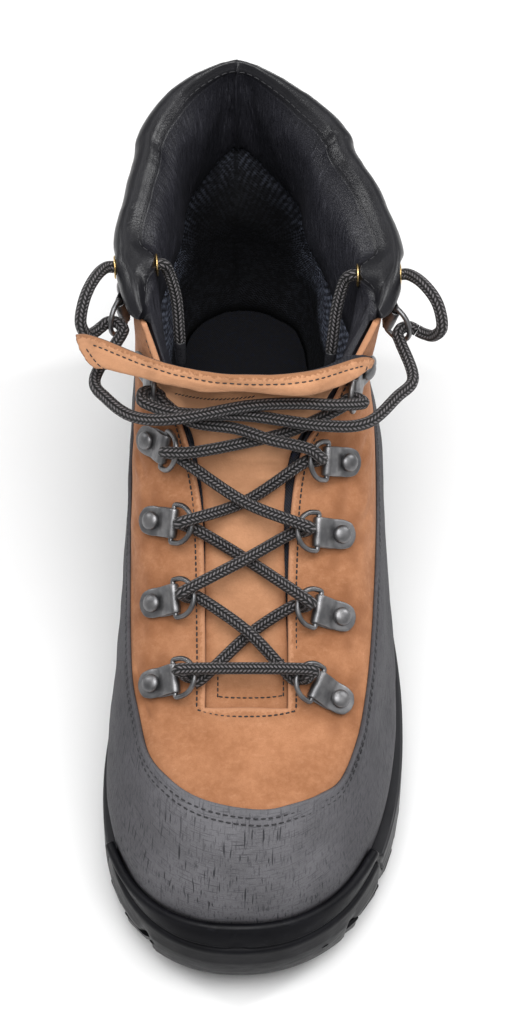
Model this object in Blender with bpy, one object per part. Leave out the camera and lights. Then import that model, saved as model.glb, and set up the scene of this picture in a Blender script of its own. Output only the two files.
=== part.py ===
"""Left trekking boot standing on its sole, toe towards -Y, outer side towards +X.

The origin is on the floor under the middle of the heel.  Tables and sizes are in
millimetres; meshes are written in metres.
"""
import math

import bmesh
import bpy
import numpy as np

MM = 0.001
MEDIAL, LATERAL = -1, 1

# ---------------------------------------------------------------- last and upper
# One row per level of the upper, from the feather line to the collar top.  A level is a
# closed line in a tilted plane: front point, back point, and half widths each side of x = 0.
# nose = distance from the front point to the full fore width, heel = length of heel round.
RING_COLUMNS = (
    "level", "front_x", "front_y", "front_z", "back_y", "back_z",
    "nose_in", "nose_out", "fore_in", "fore_out", "mid_in", "mid_out",
    "rear_in", "rear_out", "heel", "toe_power", "heel_power")
RINGS = (
    (0.00, 0.5, -251.0, 32.0, 36.0, 36.0, 62, 95, 45.5, 57.5, 34.0, 50.0, 35.0, 40.0, 42, 2.30, 2.2),
    (0.12, 0.5, -250.5, 44.0, 41.0, 55.0, 64, 95, 46.5, 58.0, 37.5, 53.0, 38.0, 43.5, 42, 2.30, 2.2),
    (0.26, 1.0, -243.5, 58.0, 41.5, 76.0, 72, 98, 43.5, 54.5, 39.5, 54.5, 38.5, 44.0, 40, 2.20, 2.2),
    (0.40, 2.0, -224.0, 71.5, 38.0, 93.0, 88, 102, 40.5, 53.0, 39.5, 51.0, 37.0, 42.5, 38, 2.50, 2.2),
    (0.52, 3.3, -191.0, 84.5, 34.0, 109.0, 86, 98, 39.0, 51.5, 37.0, 47.0, 34.0, 39.5, 36, 2.80, 2.1),
    (0.64, 3.6, -153.0, 103.5, 31.5, 125.0, 63, 70, 38.0, 50.0, 35.0, 44.0, 32.0, 37.0, 35, 2.80, 2.0),
    (0.77, 4.0, -120.0, 127.5, 30.0, 143.0, 55, 52, 37.5, 48.5, 34.5, 42.0, 31.5, 36.0, 34, 2.40, 1.8),
    (0.88, 4.5, -108.0, 146.0, 29.5, 161.0, 50, 46, 38.5, 52.5, 35.5, 44.0, 31.0, 35.5, 34, 2.00, 1.6),
    (1.00, 5.0, -103.0, 162.0, 29.0, 180.0, 55, 45, 42.0, 56.5, 37.0, 48.0, 32.0, 36.0, 35, 2.00, 1.45),
)
# Height of the feather line, heel to toe: y, z.
FEATHER = ((-262.0, 33.5), (-245.0, 30.0), (-215.0, 26.8), (-180.0, 26.0), (-130.0, 28.5),
           (-70.0, 33.5), (0.0, 36.5), (45.0, 37.5))
SOLE_OUTLINE = (0.0, 0.5, -263.0, 0.0, 42.0, 0.0, 73, 103, 50.2, 62.5, 39.0, 54.0,
                39.5, 45.0, 45, 2.30, 2.3)


def smooth(points, x):
    """Monotone cubic through (x, y) points; flat beyond the ends."""
    xs = np.array([p[0] for p in points], float)
    ys = np.array([p[1] for p in points], float)
    step = np.diff(xs)
    slope = np.diff(ys) / step
    tangent = np.zeros(len(xs))
    for i in range(1, len(xs) - 1):
        if slope[i - 1] * slope[i] > 0.0:
            a = 2.0 * step[i] + step[i - 1]
            b = step[i] + 2.0 * step[i - 1]
            tangent[i] = (a + b) / (a / slope[i - 1] + b / slope[i])
    x = np.clip(x, xs[0], xs[-1])
    i = np.clip(np.searchsorted(xs, x, side="right") - 1, 0, len(step) - 1)
    t = (x - xs[i]) / step[i]
    h00 = (1.0 + 2.0 * t) * (1.0 - t) ** 2
    h10 = t * (1.0 - t) ** 2
    h01 = t * t * (3.0 - 2.0 * t)
    h11 = t * t * (t - 1.0)
    return h00 * ys[i] + h10 * step[i] * tangent[i] + h01 * ys[i + 1] + h11 * step[i] * tangent[i + 1]


def tangents(xs, ys):
    """Smooth tangents for an open row of samples."""
    return np.gradient(ys, xs)


def ring_row(level):
    """The table row at any level, by cubic interpolation between the rows."""
    levels = np.array([r[0] for r in RINGS])
    level = float(np.clip(level, levels[0], levels[-1] + 0.08))
    row = {}
    for k, name in enumerate(RING_COLUMNS):
        values = np.array([r[k] for r in RINGS], float)
        slopes = tangents(levels, values)
        if level >= levels[-1]:
            row[name] = values[-1] + slopes[-1] * (level - levels[-1])
            continue
        i = min(int(np.searchsorted(levels, level, side="right")) - 1, len(levels) - 2)
        step = levels[i + 1] - levels[i]
        t = (level - levels[i]) / step
        row[name] = ((1 + 2 * t) * (1 - t) ** 2 * values[i] + t * (1 - t) ** 2 * step * slopes[i]
                     + t * t * (3 - 2 * t) * values[i + 1] + t * t * (t - 1) * step * slopes[i + 1])
    return row


SAMPLES = 260


def plan_side(row, side):
    """Dense plan points of one side, front centre to back centre: x, y."""
    key = "in" if side == MEDIAL else "out"
    front, back = row["front_y"], row["back_y"]
    turn = np.linspace(0.0, math.pi, SAMPLES)
    y = front + (back - front) * (1.0 - np.cos(turn)) / 2.0
    full = front + row["nose_" + key]
    rear = back - row["heel"]
    width = smooth(((full, row["fore_" + key]), ((full + rear) / 2.0, row["mid_" + key]),
                    (rear, row["rear_" + key])), y)
    toe = np.clip((full - y) / (full - front), 0.0, 1.0)
    heel = np.clip((y - rear) / (back - rear), 0.0, 1.0)
    p, q = row["toe_power"], row["heel_power"]
    round_toe = np.clip(1.0 - toe ** p, 0.0, 1.0) ** (1.0 / p)
    round_heel = np.clip(1.0 - heel ** q, 0.0, 1.0) ** (1.0 / q)
    x = side * width * round_toe * round_heel + row["front_x"] * (1.0 - round_toe)
    return x, y


RING_CACHE = {}


def ring(level, inset=0.0):
    """Closed line of one level: signed arc length from the front centre, and x, y, z."""
    key = (round(float(level), 5), round(float(inset), 3))
    if key in RING_CACHE:
        return RING_CACHE[key]
    row = ring_row(level)
    chord_front = (row["front_y"], row["front_z"])
    chord_back = (row["back_y"], row["back_z"])
    if inset:
        row = dict(row)
        row["front_y"] += inset
        row["back_y"] -= inset
        row["nose_in"] = max(row["nose_in"] - inset, 10.0)
        row["nose_out"] = max(row["nose_out"] - inset, 10.0)
        for name in ("fore_in", "fore_out", "mid_in", "mid_out", "rear_in", "rear_out"):
            row[name] -= inset
        row["heel"] -= inset * 0.6
    halves = []
    for side in (MEDIAL, LATERAL):
        x, y = plan_side(row, side)
        slope = (chord_back[1] - chord_front[1]) / (chord_back[0] - chord_front[0])
        z = chord_front[1] + slope * (y - chord_front[0])
        base = RINGS[0]
        flat = base[3] + (base[5] - base[3]) / (base[4] - base[2]) * (y - base[2])
        sink = max(0.0, 1.0 - level / 0.40) ** 1.5
        z = z + sink * (smooth(FEATHER, y) - flat)
        points = np.stack([x, y, z], 1)
        arc = np.concatenate([[0.0], np.cumsum(np.linalg.norm(np.diff(points, axis=0), axis=1))])
        halves.append((arc, points))
    (arc_in, p_in), (arc_out, p_out) = halves
    arc = np.concatenate([-arc_in[:0:-1], arc_out])
    points = np.concatenate([p_in[:0:-1], p_out])
    RING_CACHE[key] = (arc, points, arc_in[-1], arc_out[-1])
    return RING_CACHE[key]


def on_ring(level, arc, inset=0.0):
    arcs, points, length_in, length_out = ring(level, inset)
    whole = length_in + length_out
    arc = (arc + length_in) % whole - length_in
    return np.array([np.interp(arc, arcs, points[:, k]) for k in range(3)])


def half_length(level, side, inset=0.0):
    return ring(level, inset)[2 if side == MEDIAL else 3]


def normal(level, arc, inset=0.0):
    """Outward direction of the last's surface."""
    side = MEDIAL if arc < 0 else LATERAL
    share = arc / half_length(level, side, inset)
    low, high = max(level - 0.012, 0.0), level + 0.012
    across = on_ring(level, arc + 1.5, inset) - on_ring(level, arc - 1.5, inset)
    up = (on_ring(high, share * half_length(high, side, inset), inset)
          - on_ring(low, share * half_length(low, side, inset), inset))
    n = np.cross(across, up)
    return n / np.linalg.norm(n)


def skin(level, arc, offset=0.0):
    """Point at an offset outside the last's surface."""
    p = on_ring(level, arc)
    if offset:
        p = p + normal(level, arc) * offset
    return p


# Arc distance from the front centre to the throat's edge: level, inner side, outer side.
THROAT = ((0.0, 15.0, 15.0), (0.513, 14.8, 15.1), (0.62, 15.2, 14.8), (0.705, 16.4, 15.6),
          (0.79, 23.0, 20.0), (0.84, 30.0, 31.0), (0.92, 42.0, 46.0), (1.0, 50.0, 57.0))
THROAT_COLUMNS = 3
SIDE_COLUMNS = 18
WALL = 2.6
SEAT = 0.32
THROAT_LEVEL = 0.517


def throat_arc(level, side):
    k = 1 if side == MEDIAL else 2
    return float(smooth([(r[0], r[k]) for r in THROAT], level))


def column_arc(level, side, column, inset=0.0):
    """Arc distance of a mesh column; the throat's edge is column THROAT_COLUMNS."""
    edge = throat_arc(level, side)
    if column <= THROAT_COLUMNS:
        return edge * column / THROAT_COLUMNS
    share = (column - THROAT_COLUMNS) / SIDE_COLUMNS
    share = share - 0.22 * math.sin(2.0 * math.pi * share) / (2.0 * math.pi)
    return edge + (half_length(level, side, inset) - edge) * share


COLUMNS = ([(MEDIAL, c) for c in range(THROAT_COLUMNS + SIDE_COLUMNS, 0, -1)]
           + [(LATERAL, c) for c in range(0, THROAT_COLUMNS + SIDE_COLUMNS)])

# Level of the toe cap's upper border, by share of the side from the throat's edge (0) back.
BORDER_IN = ((0.0, 0.398), (0.06, 0.395), (0.12, 0.385), (0.17, 0.405), (0.21, 0.412), (0.25, 0.44),
             (0.31, 0.50), (0.45, 0.55), (0.75, 0.56), (1.0, 0.55))
BORDER_OUT = ((0.0, 0.388), (0.06, 0.376), (0.11, 0.358), (0.16, 0.380), (0.20, 0.418), (0.25, 0.470),
              (0.31, 0.515), (0.45, 0.55), (0.75, 0.56), (1.0, 0.55))
CUFF_LINE = ((0.0, 0.965), (0.16, 0.950), (0.28, 0.942), (0.42, 0.90), (0.7, 0.88), (1.0, 0.88))
CUFF_TOP = ((0.0, 0.985), (0.05, 0.994), (0.12, 1.0), (1.0, 1.0))


def side_share(column):
    return max(0.0, (column - THROAT_COLUMNS) / SIDE_COLUMNS)


def border_level(side, column):
    return float(smooth(BORDER_IN if side == MEDIAL else BORDER_OUT, side_share(column)))


def throat_row_level(column):
    reach = min(column / THROAT_COLUMNS, 1.0)
    fade = 1.0 - min(side_share(column) / 0.4, 1.0)
    return THROAT_LEVEL - 0.005 * reach ** 2 * fade


def cuff_level(column):
    return float(smooth(CUFF_LINE, side_share(column)))


BORDER_ROWS, VAMP_ROWS, SHAFT_ROWS = 4, 3, 6


def row_level(row, side, column, top=None):
    """Level of an upper mesh row: feather, border, throat bottom, cuff line."""
    border = border_level(side, column)
    throat = max(throat_row_level(column), border + 0.03)
    top = cuff_level(column) if top is None else top
    if row <= BORDER_ROWS:
        return border * row / BORDER_ROWS
    row -= BORDER_ROWS
    if row <= VAMP_ROWS:
        return border + (throat - border) * row / VAMP_ROWS
    row -= VAMP_ROWS
    return throat + (top - throat) * row / SHAFT_ROWS


def skin_grid(rows, offset, columns=COLUMNS):
    grid = []
    for row in rows:
        line = []
        for side, column in columns:
            level = row_level(row, side, column)
            line.append(skin(level, side * column_arc(level, side, column), offset))
        grid.append(line)
    return np.array(grid)


# ---------------------------------------------------------------- mesh helpers
def clear_scene():
    for item in list(bpy.data.objects):
        bpy.data.objects.remove(item, do_unlink=True)


def material(name, colour, roughness=0.7, metallic=0.0):
    made = bpy.data.materials.get(name) or bpy.data.materials.new(name)
    made.use_nodes = True
    shader = made.node_tree.nodes["Principled BSDF"]
    shader.inputs["Base Color"].default_value = (*colour, 1.0)
    shader.inputs["Roughness"].default_value = roughness
    shader.inputs["Metallic"].default_value = metallic
    made.diffuse_color = (*colour, 1.0)
    return made


def make(name, points, faces, stuff, weld=True):
    mesh = bpy.data.meshes.new(name)
    mesh.from_pydata([tuple(float(v) * MM for v in p) for p in points], [], faces)
    work = bmesh.new()
    work.from_mesh(mesh)
    bmesh.ops.delete(work, geom=[v for v in work.verts if not v.link_faces], context="VERTS")
    if weld:
        bmesh.ops.remove_doubles(work, verts=work.verts, dist=0.00002)
    bmesh.ops.triangulate(work, faces=[f for f in work.faces if len(f.verts) > 3])
    bmesh.ops.recalc_face_normals(work, faces=work.faces)
    work.to_mesh(mesh)
    work.free()
    body = bpy.data.objects.new(name, mesh)
    mesh.materials.append(stuff)
    bpy.context.scene.collection.objects.link(body)
    return body


def quad(faces, a, b, c, d):
    faces.append((a, b, c))
    faces.append((a, c, d))


def shell(name, outer, inner, stuff, wrap=False, hole=None):
    """Closed solid between two matching grids; hole(row, column) leaves cells out."""
    rows, columns = outer.shape[:2]
    count = rows * columns
    points = np.concatenate([outer.reshape(-1, 3), inner.reshape(-1, 3)])
    last = columns if wrap else columns - 1

    def at(row, column):
        return row * columns + column % columns

    def present(row, column):
        if row < 0 or row >= rows - 1:
            return False
        if wrap:
            column %= columns
        elif column < 0 or column >= last:
            return False
        return hole is None or not hole(row, column)

    faces = []
    for row in range(rows - 1):
        for column in range(last):
            if not present(row, column):
                continue
            a, b = at(row, column), at(row, column + 1)
            c, d = at(row + 1, column + 1), at(row + 1, column)
            quad(faces, a, b, c, d)
            quad(faces, count + a, count + d, count + c, count + b)
            if not present(row - 1, column):
                quad(faces, a, count + a, count + b, b)
            if not present(row + 1, column):
                quad(faces, d, c, count + c, count + d)
            if not present(row, column - 1):
                quad(faces, a, d, count + d, count + a)
            if not present(row, column + 1):
                quad(faces, b, count + b, count + c, c)
    return make(name, points, faces, stuff)


def swept(name, sections, stuff, wrap=False):
    """Closed solid through matching closed sections; flat ends unless wrapped."""
    sections = np.array(sections)
    stations, count = sections.shape[:2]
    faces = []
    for s in range(stations if wrap else stations - 1):
        t = (s + 1) % stations
        for k in range(count):
            m = (k + 1) % count
            quad(faces, s * count + k, s * count + m, t * count + m, t * count + k)
    if not wrap:
        faces.append(tuple(range(count - 1, -1, -1)))
        faces.append(tuple((stations - 1) * count + k for k in range(count)))
    return make(name, sections.reshape(-1, 3), faces, stuff)


def tube_sections(path, radius, sides, wrap=False, start=0.0):
    """Round sections along a path, carried along without twist."""
    path = np.array(path, float)
    n = len(path)
    directions = []
    for i in range(n):
        before = path[i - 1] if (wrap or i > 0) else path[i]
        after = path[(i + 1) % n] if (wrap or i < n - 1) else path[i]
        a = path[i] - before
        b = after - path[i]
        a = a / (np.linalg.norm(a) or 1.0)
        b = b / (np.linalg.norm(b) or 1.0)
        d = a + b
        directions.append(d / np.linalg.norm(d))
    side = np.cross(directions[0], (0.0, 0.0, 1.0))
    if np.linalg.norm(side) < 0.2:
        side = np.cross(directions[0], (0.0, 1.0, 0.0))
    sections = []
    for i in range(n):
        d = directions[i]
        side = side - d * np.dot(side, d)
        side = side / np.linalg.norm(side)
        other = np.cross(d, side)
        sections.append([path[i] + radius * (math.cos(t) * side + math.sin(t) * other)
                         for t in (start + 2.0 * math.pi * k / sides for k in range(sides))])
    return sections


def tube(name, path, radius, stuff, sides=6, wrap=False):
    return swept(name, tube_sections(path, radius, sides, wrap), stuff, wrap)


# ---------------------------------------------------------------- upper, rand, cuff
def build_upper(stuff):
    rows = range(BORDER_ROWS + VAMP_ROWS + SHAFT_ROWS + 1)
    outer = skin_grid(rows, 0.0)
    inner = skin_grid(rows, -WALL)
    floor = outer[0, :, 2]
    inner[0, :, 2] = floor
    centre = THROAT_COLUMNS + SIDE_COLUMNS
    first, last = centre - THROAT_COLUMNS + 1, centre + THROAT_COLUMNS

    def throat(row, column):
        return row >= BORDER_ROWS + VAMP_ROWS and first <= column + 1 <= last

    return shell("upper", outer, inner, stuff, wrap=True, hole=throat)


RAND_THICK = 1.7


def build_rand(stuff):
    rows = range(BORDER_ROWS + 1)
    outer = skin_grid(rows, SEAT + RAND_THICK)
    inner = skin_grid(rows, SEAT)
    outer[0, :, 2] = inner[0, :, 2] = skin_grid([0], 0.0)[0, :, 2]
    return shell("toe_cap_rand", outer, inner, stuff, wrap=True)


SHAFT_COLUMNS = ([(MEDIAL, c) for c in range(THROAT_COLUMNS, THROAT_COLUMNS + SIDE_COLUMNS)]
                 + [(LATERAL, c) for c in range(THROAT_COLUMNS + SIDE_COLUMNS, THROAT_COLUMNS - 1, -1)])
# Padded cuff, one row per corner of its section: share of its height, outside offset,
# inset of an inside corner, extra height.
CUFF = ((0.00, 0.0, None, 0.0), (0.10, 2.0, None, 0.0), (0.50, 2.6, None, 0.0), (0.88, 1.8, None, 0.8),
        (1.00, -1.2, None, 3.2), (1.00, None, 5.6, 3.4), (0.92, None, 9.0, 0.0), (0.45, None, 10.6, 0.0),
        (-0.20, None, 9.6, 0.0), (-0.80, None, 6.4, 0.0))


def cuff_point(side, column, share, outside, inset, lift):
    low, high = cuff_level(column), float(smooth(CUFF_TOP, side_share(column)))
    level = low + (high - low) * share
    if share < 0.0:
        level = low + 0.12 * share
    if inset is None:
        p = skin(level, side * column_arc(level, side, column), outside)
    else:
        p = on_ring(level, side * column_arc(level, side, column, inset), inset)
    return p + np.array([0.0, 0.0, lift])


def build_cuff(stuff):
    sections = []
    for side, column in SHAFT_COLUMNS:
        low = cuff_level(column)
        gap = 0.0026
        section = [skin(low + gap, side * column_arc(low, side, column), 0.0)]
        section += [cuff_point(side, column, *corner) for corner in CUFF[1:]]
        bottom = low - 0.12 * 0.8
        section.append(skin(bottom, side * column_arc(bottom, side, column), -WALL - SEAT - 1.0))
        section.append(skin(low + gap, side * column_arc(low, side, column), -WALL - SEAT - 0.5))
        sections.append(section)
    return swept("collar", sections, stuff)


# ---------------------------------------------------------------- tongue and gussets
TONGUE_COLUMNS = 8
# Lower tongue on the last's surface: level, half width in, half width out, offset of its top
# at the middle and at its sides.
TONGUE_LOW = ((0.475, 12.6, 12.6, -3.1, -3.1), (0.500, 13.6, 13.6, -3.1, -3.1),
              (0.535, 13.8, 13.8, -3.0, -3.1), (0.57, 13.8, 13.8, -1.3, -2.3),
              (0.62, 13.8, 13.6, -0.9, -2.0), (0.67, 14.2, 13.8, -0.9, -2.0),
              (0.72, 15.0, 14.6, -0.9, -2.0), (0.77, 17.0, 16.4, -0.9, -2.2),
              (0.81, 20.0, 19.5, -0.9, -3.2))
TONGUE_THICK = 3.2
# Free tongue: centre x, y, z, half widths, back sweep and drop of the ends, thickness.
TONGUE_HIGH = ((4.2, -110.5, 141.5, 24.0, 26.0, 9.0, 2.0, 4.4),
               (4.4, -108.5, 150.0, 23.0, 26.0, 8.0, 2.0, 4.6),
               (4.5, -108.5, 158.0, 34.0, 33.0, 12.0, 1.0, 4.6),
               (4.7, -111.5, 166.5, 53.0, 44.0, 26.0, 7.0, 5.0),
               (4.8, -117.0, 174.0, 59.0, 46.0, 30.0, 9.5, 4.2))


def tongue_rows():
    """Top and under side rows of the tongue."""
    tops, unders = [], []
    for level, half_in, half_out, mid, edge in TONGUE_LOW:
        top, under = [], []
        for k in range(TONGUE_COLUMNS + 1):
            a = 2.0 * k / TONGUE_COLUMNS - 1.0
            arc = a * (half_in if a < 0 else half_out)
            crown = mid + (edge - mid) * a * a
            top.append(skin(level, arc, crown))
            under.append(skin(level, arc, crown - TONGUE_THICK))
        tops.append(top)
        unders.append(under)
    frames = []
    for x, y, z, half_in, half_out, sweep, drop, thick in TONGUE_HIGH:
        line = []
        for k in range(TONGUE_COLUMNS + 1):
            a = 2.0 * k / TONGUE_COLUMNS - 1.0
            half = half_in if a < 0 else half_out
            line.append(np.array([x + a * half, y + sweep * a * a, z - drop * a * a]))
        frames.append((line, thick))
    for r, (line, thick) in enumerate(frames):
        before = frames[r - 1][0] if r else tops[-1]
        after = frames[min(r + 1, len(frames) - 1)][0]
        under = []
        for k in range(TONGUE_COLUMNS + 1):
            across = line[min(k + 1, TONGUE_COLUMNS)] - line[max(k - 1, 0)]
            up = np.array(after[k]) - np.array(before[k])
            n = np.cross(across, up)
            under.append(line[k] - n / np.linalg.norm(n) * thick)
        tops.append(line)
        unders.append(under)
    return np.array(tops), np.array(unders)


def build_tongue(stuff):
    tops, unders = tongue_rows()
    return shell("tongue", tops, unders, stuff)


GUSSET_LEVELS = (0.525, 0.57, 0.62, 0.67, 0.72, 0.76, 0.79)
GUSSET_THICK = 1.3


def build_gusset(side, name, stuff):
    outer, inner = [], []
    k = 1 if side == MEDIAL else 2
    for level in GUSSET_LEVELS:
        near = float(smooth([(r[0], r[k]) for r in TONGUE_LOW], level)) + 0.45
        far = throat_arc(level, side) + 7.0
        line = [side * (near + (far - near) * t / 3.0) for t in range(4)]
        if side == MEDIAL:
            line.reverse()
        outer.append([skin(level, arc, -WALL - SEAT - 0.2) for arc in line])
        inner.append([skin(level, arc, -WALL - SEAT - 0.2 - GUSSET_THICK) for arc in line])
    return shell(name, np.array(outer), np.array(inner), stuff)


# ---------------------------------------------------------------- sole unit
def sole_row():
    return dict(zip(RING_COLUMNS, SOLE_OUTLINE))


SOLE_CACHE = {}


def sole_side(side):
    """Dense outline of one side of the sole: arc length, x, y."""
    if side not in SOLE_CACHE:
        x, y = plan_side(sole_row(), side)
        arc = np.concatenate([[0.0], np.cumsum(np.hypot(np.diff(x), np.diff(y)))])
        fine = np.linspace(0.0, arc[-1], 2400)
        SOLE_CACHE[side] = (fine, np.interp(fine, arc, x), np.interp(fine, arc, y))
    return SOLE_CACHE[side]


def sole_point(side, share, inset=0.0):
    """Plan point of the sole's outline straight out from the feather line, moved inwards."""
    arc, x, y = sole_side(side)
    if share <= 0.0 or share >= 1.0:
        at = 0.0 if share <= 0.0 else arc[-1]
        t = np.array([float(side), 0.0]) if share <= 0.0 else np.array([-float(side), 0.0])
    else:
        foot = on_ring(0.0, side * share * half_length(0.0, side))
        at = arc[int(np.argmin((x - foot[0]) ** 2 + (y - foot[1]) ** 2))]
        low, high = max(at - 1.5, 0.0), min(at + 1.5, arc[-1])
        t = np.array([np.interp(high, arc, x) - np.interp(low, arc, x),
                      np.interp(high, arc, y) - np.interp(low, arc, y)])
        t = t / np.linalg.norm(t)
    p = np.array([np.interp(at, arc, x), np.interp(at, arc, y)])
    return p + np.array([-t[1], t[0]]) * side * inset


# Tread height, heel to toe: y, z of the ground face and of the base above the lugs.
TREAD = ((-263.0, 15.0), (-240.0, 8.5), (-215.0, 2.6), (-195.0, 0.0), (-90.0, 0.0),
         (24.0, 0.0), (42.0, 4.0))
BASE = ((-263.0, 19.5), (-240.0, 13.5), (-215.0, 8.2), (-195.0, 5.8), (-110.0, 6.0), (-84.0, 9.5),
        (-66.0, 12.0), (-52.0, 11.0), (-46.0, 7.4), (20.0, 7.2), (42.0, 9.4))
OUTSOLE_THICK = 5.0
# Toe bumper: share of the side from the toe, height of its top edge above the feather line.
BUMPER_IN_END, BUMPER_OUT_END = 0.175, 0.170
BUMPER_TOP = ((0.0, 6.0), (0.7, 5.2), (1.0, 7.2))


def base_z(y):
    return float(smooth(BASE, y))


def tread_z(y):
    return float(smooth(TREAD, y))


def station_feather(side, share):
    """Height of the upper's lower edge at a station of the sole."""
    return on_ring(0.0, side * share * half_length(0.0, side))[2]


def bumper_floor(side, share, clear=0.0):
    """Plan point under the bumper's inside face, or clear of it."""
    arc = side * share * half_length(0.0, side)
    return skin(0.0, arc, SEAT + RAND_THICK + SEAT + 0.1 - clear)[:2]


def sole_shares(side):
    """Shares of the side's outline, front to back, with two close ones at the bumper's end."""
    total = half_length(0.0, side)
    shares = [column_arc(0.0, side, c) / total for c in range(THROAT_COLUMNS + SIDE_COLUMNS + 1)]
    end = BUMPER_IN_END if side == MEDIAL else BUMPER_OUT_END
    nearest = min(range(len(shares)), key=lambda i: abs(shares[i] - end))
    end = shares[nearest]
    step = 1.1 / total
    return shares[:nearest + 1] + [end + step, end + 2 * step] + shares[nearest + 1:], nearest


def sole_stations():
    """Closed list of stations: side, share, kind (bumper, gap or side)."""
    stations = []
    for side in (MEDIAL, LATERAL):
        shares, last = sole_shares(side)
        line = []
        for i, share in enumerate(shares):
            kind = "bumper" if i <= last else ("gap" if i == last + 1 else "side")
            line.append((side, share, kind, min(i / last, 1.0)))
        if side == MEDIAL:
            stations += line[:0:-1]
        else:
            stations += line[:-1]
    return stations


def bumper_inner(side, share, z):
    """Inside face of the bumper: clear of the rand at height z."""
    arc = side * share * half_length(0.0, side)
    low, high = 0.0, 0.2
    for _ in range(24):
        level = (low + high) / 2.0
        at = side * share * half_length(level, side)
        p = skin(level, at, SEAT + RAND_THICK + SEAT + 0.1)
        if p[2] < z:
            low = level
        else:
            high = level
    return skin((low + high) / 2.0, side * share * half_length((low + high) / 2.0, side),
                SEAT + RAND_THICK + SEAT + 0.1)


LIP = 2.6
LIP_RISE = 2.2
LUG_CELLS = (0.0, 0.25, 0.42, 0.58, 0.75, 1.0)
LUG_SET = 1.9


def build_outsole(stuff):
    """Base plate with lip, toe bumper and extruded lugs, in one solid."""
    stations = sole_stations()
    count = len(stations)
    points, faces = [], []
    rings = {name: [] for name in ("edge", "wall", "lip", "step", "top", "brim", "inner", "floor")}
    for side, share, kind, along in stations:
        edge = sole_point(side, share)
        y = edge[1]
        base = base_z(y)
        deck = base + OUTSOLE_THICK
        feather = station_feather(side, share)

        def put(name, xy, z):
            rings[name].append(len(points))
            points.append(np.array([xy[0], xy[1], z]))

        put("edge", sole_point(side, share, 2.2), base)
        put("wall", sole_point(side, share, 0.0), base + 2.6)
        if kind == "bumper":
            top = feather + float(smooth(BUMPER_TOP, along))
            inside = bumper_inner(side, share, top)
            out = edge - inside[:2]
            out = out / np.linalg.norm(out)
            put("lip", sole_point(side, share, 0.6), deck + 1.0)
            middle = deck + 1.0 + (top - deck - 1.0) * 0.52
            put("step", sole_point(side, share, 2.4), middle)
            put("top", inside[:2] + out * 3.0, top - 0.7)
            put("brim", inside[:2] + out * 1.2, top)
            put("inner", inside[:2], top - 0.6)
            put("floor", bumper_floor(side, share), deck)
        else:
            put("lip", sole_point(side, share, 0.2), deck + 0.6)
            put("step", sole_point(side, share, 0.5), deck + 1.2)
            put("top", sole_point(side, share, 1.0), deck + LIP_RISE - 0.4)
            put("brim", sole_point(side, share, 1.8), deck + LIP_RISE)
            put("inner", sole_point(side, share, LIP), deck + LIP_RISE - 0.5)
            put("floor", sole_point(side, share, LIP + 0.6), deck)
    order = ("edge", "wall", "lip", "step", "top", "brim", "inner", "floor")
    for low, high in zip(order, order[1:]):
        for k in range(count):
            m = (k + 1) % count
            quad(faces, rings[low][k], rings[low][m], rings[high][m], rings[high][k])
    # Deck and tread run across between matching stations of the two sides.
    pairs = cross_pairs(stations)
    cells = []
    for (a, b), (c, d) in zip(pairs, pairs[1:]):
        face = [rings["floor"][v] for v in (a, b, d, c)]
        face = [v for i, v in enumerate(face) if v not in face[:i]]
        faces.append(tuple(face))
    cross = []
    for a, b in pairs:
        if a == b:
            cross.append([rings["edge"][a]] * len(LUG_CELLS))
            continue
        line = [rings["edge"][a]]
        pa, pb = points[rings["edge"][a]], points[rings["edge"][b]]
        for t in LUG_CELLS[1:-1]:
            xy = pa[:2] + (pb[:2] - pa[:2]) * t
            xy = xy + np.array([0.0, -4.0 * math.sin(math.pi * t)])
            line.append(len(points))
            points.append(np.array([xy[0], xy[1], base_z(xy[1])]))
        line.append(rings["edge"][b])
        cross.append(line)
    for r in range(len(cross) - 1):
        for c in range(len(LUG_CELLS) - 1):
            face = (cross[r][c], cross[r + 1][c], cross[r + 1][c + 1], cross[r][c + 1])
            face = tuple(v for i, v in enumerate(face) if v not in face[:i])
            if len(face) < 3:
                continue
            cells.append((r, c, len(faces)))
            faces.append(face)
    mesh = bpy.data.meshes.new("outsole")
    mesh.from_pydata([tuple(float(v) * MM for v in p) for p in points], [], faces)
    work = bmesh.new()
    work.from_mesh(mesh)
    work.faces.ensure_lookup_table()
    lugs = []
    for r, c, index in cells:
        face = work.faces[index]
        centre = face.calc_center_median() / MM
        size = face.calc_area() / MM / MM
        if len(face.verts) < 4 or size < 90.0 or -84.0 < centre.y < -50.0:
            continue
        middle = c in (1, 2, 3)
        if middle and (r + c) % 2 and abs(centre.y) > 12.0:
            continue
        lugs.append(face)
    bmesh.ops.inset_individual(work, faces=lugs, thickness=LUG_SET * MM, use_even_offset=True)
    for face in lugs:
        for vert in face.verts:
            vert.co.z = tread_z(vert.co.y / MM) * MM
    bmesh.ops.triangulate(work, faces=[f for f in work.faces if len(f.verts) > 3])
    bmesh.ops.recalc_face_normals(work, faces=work.faces)
    work.to_mesh(mesh)
    work.free()
    body = bpy.data.objects.new("outsole", mesh)
    mesh.materials.append(stuff)
    bpy.context.scene.collection.objects.link(body)
    return body


def cross_pairs(stations):
    """Station index pairs, medial and lateral, from the toe to the heel."""
    front = next(i for i, s in enumerate(stations) if s[1] == 0.0)
    count = len(stations)
    pairs = [(front, front)]
    for i in range(1, count // 2):
        pairs.append(((front - i) % count, (front + i) % count))
    back = (front + count // 2) % count
    pairs.append((back, back))
    return pairs


# Midsole section: share of its height, set back from the sole's outline.
MIDSOLE = ((0.0, 0.2), (0.15, 0.4), (0.55, 0.9), (0.90, 0.2), (1.0, 0.9))


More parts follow.
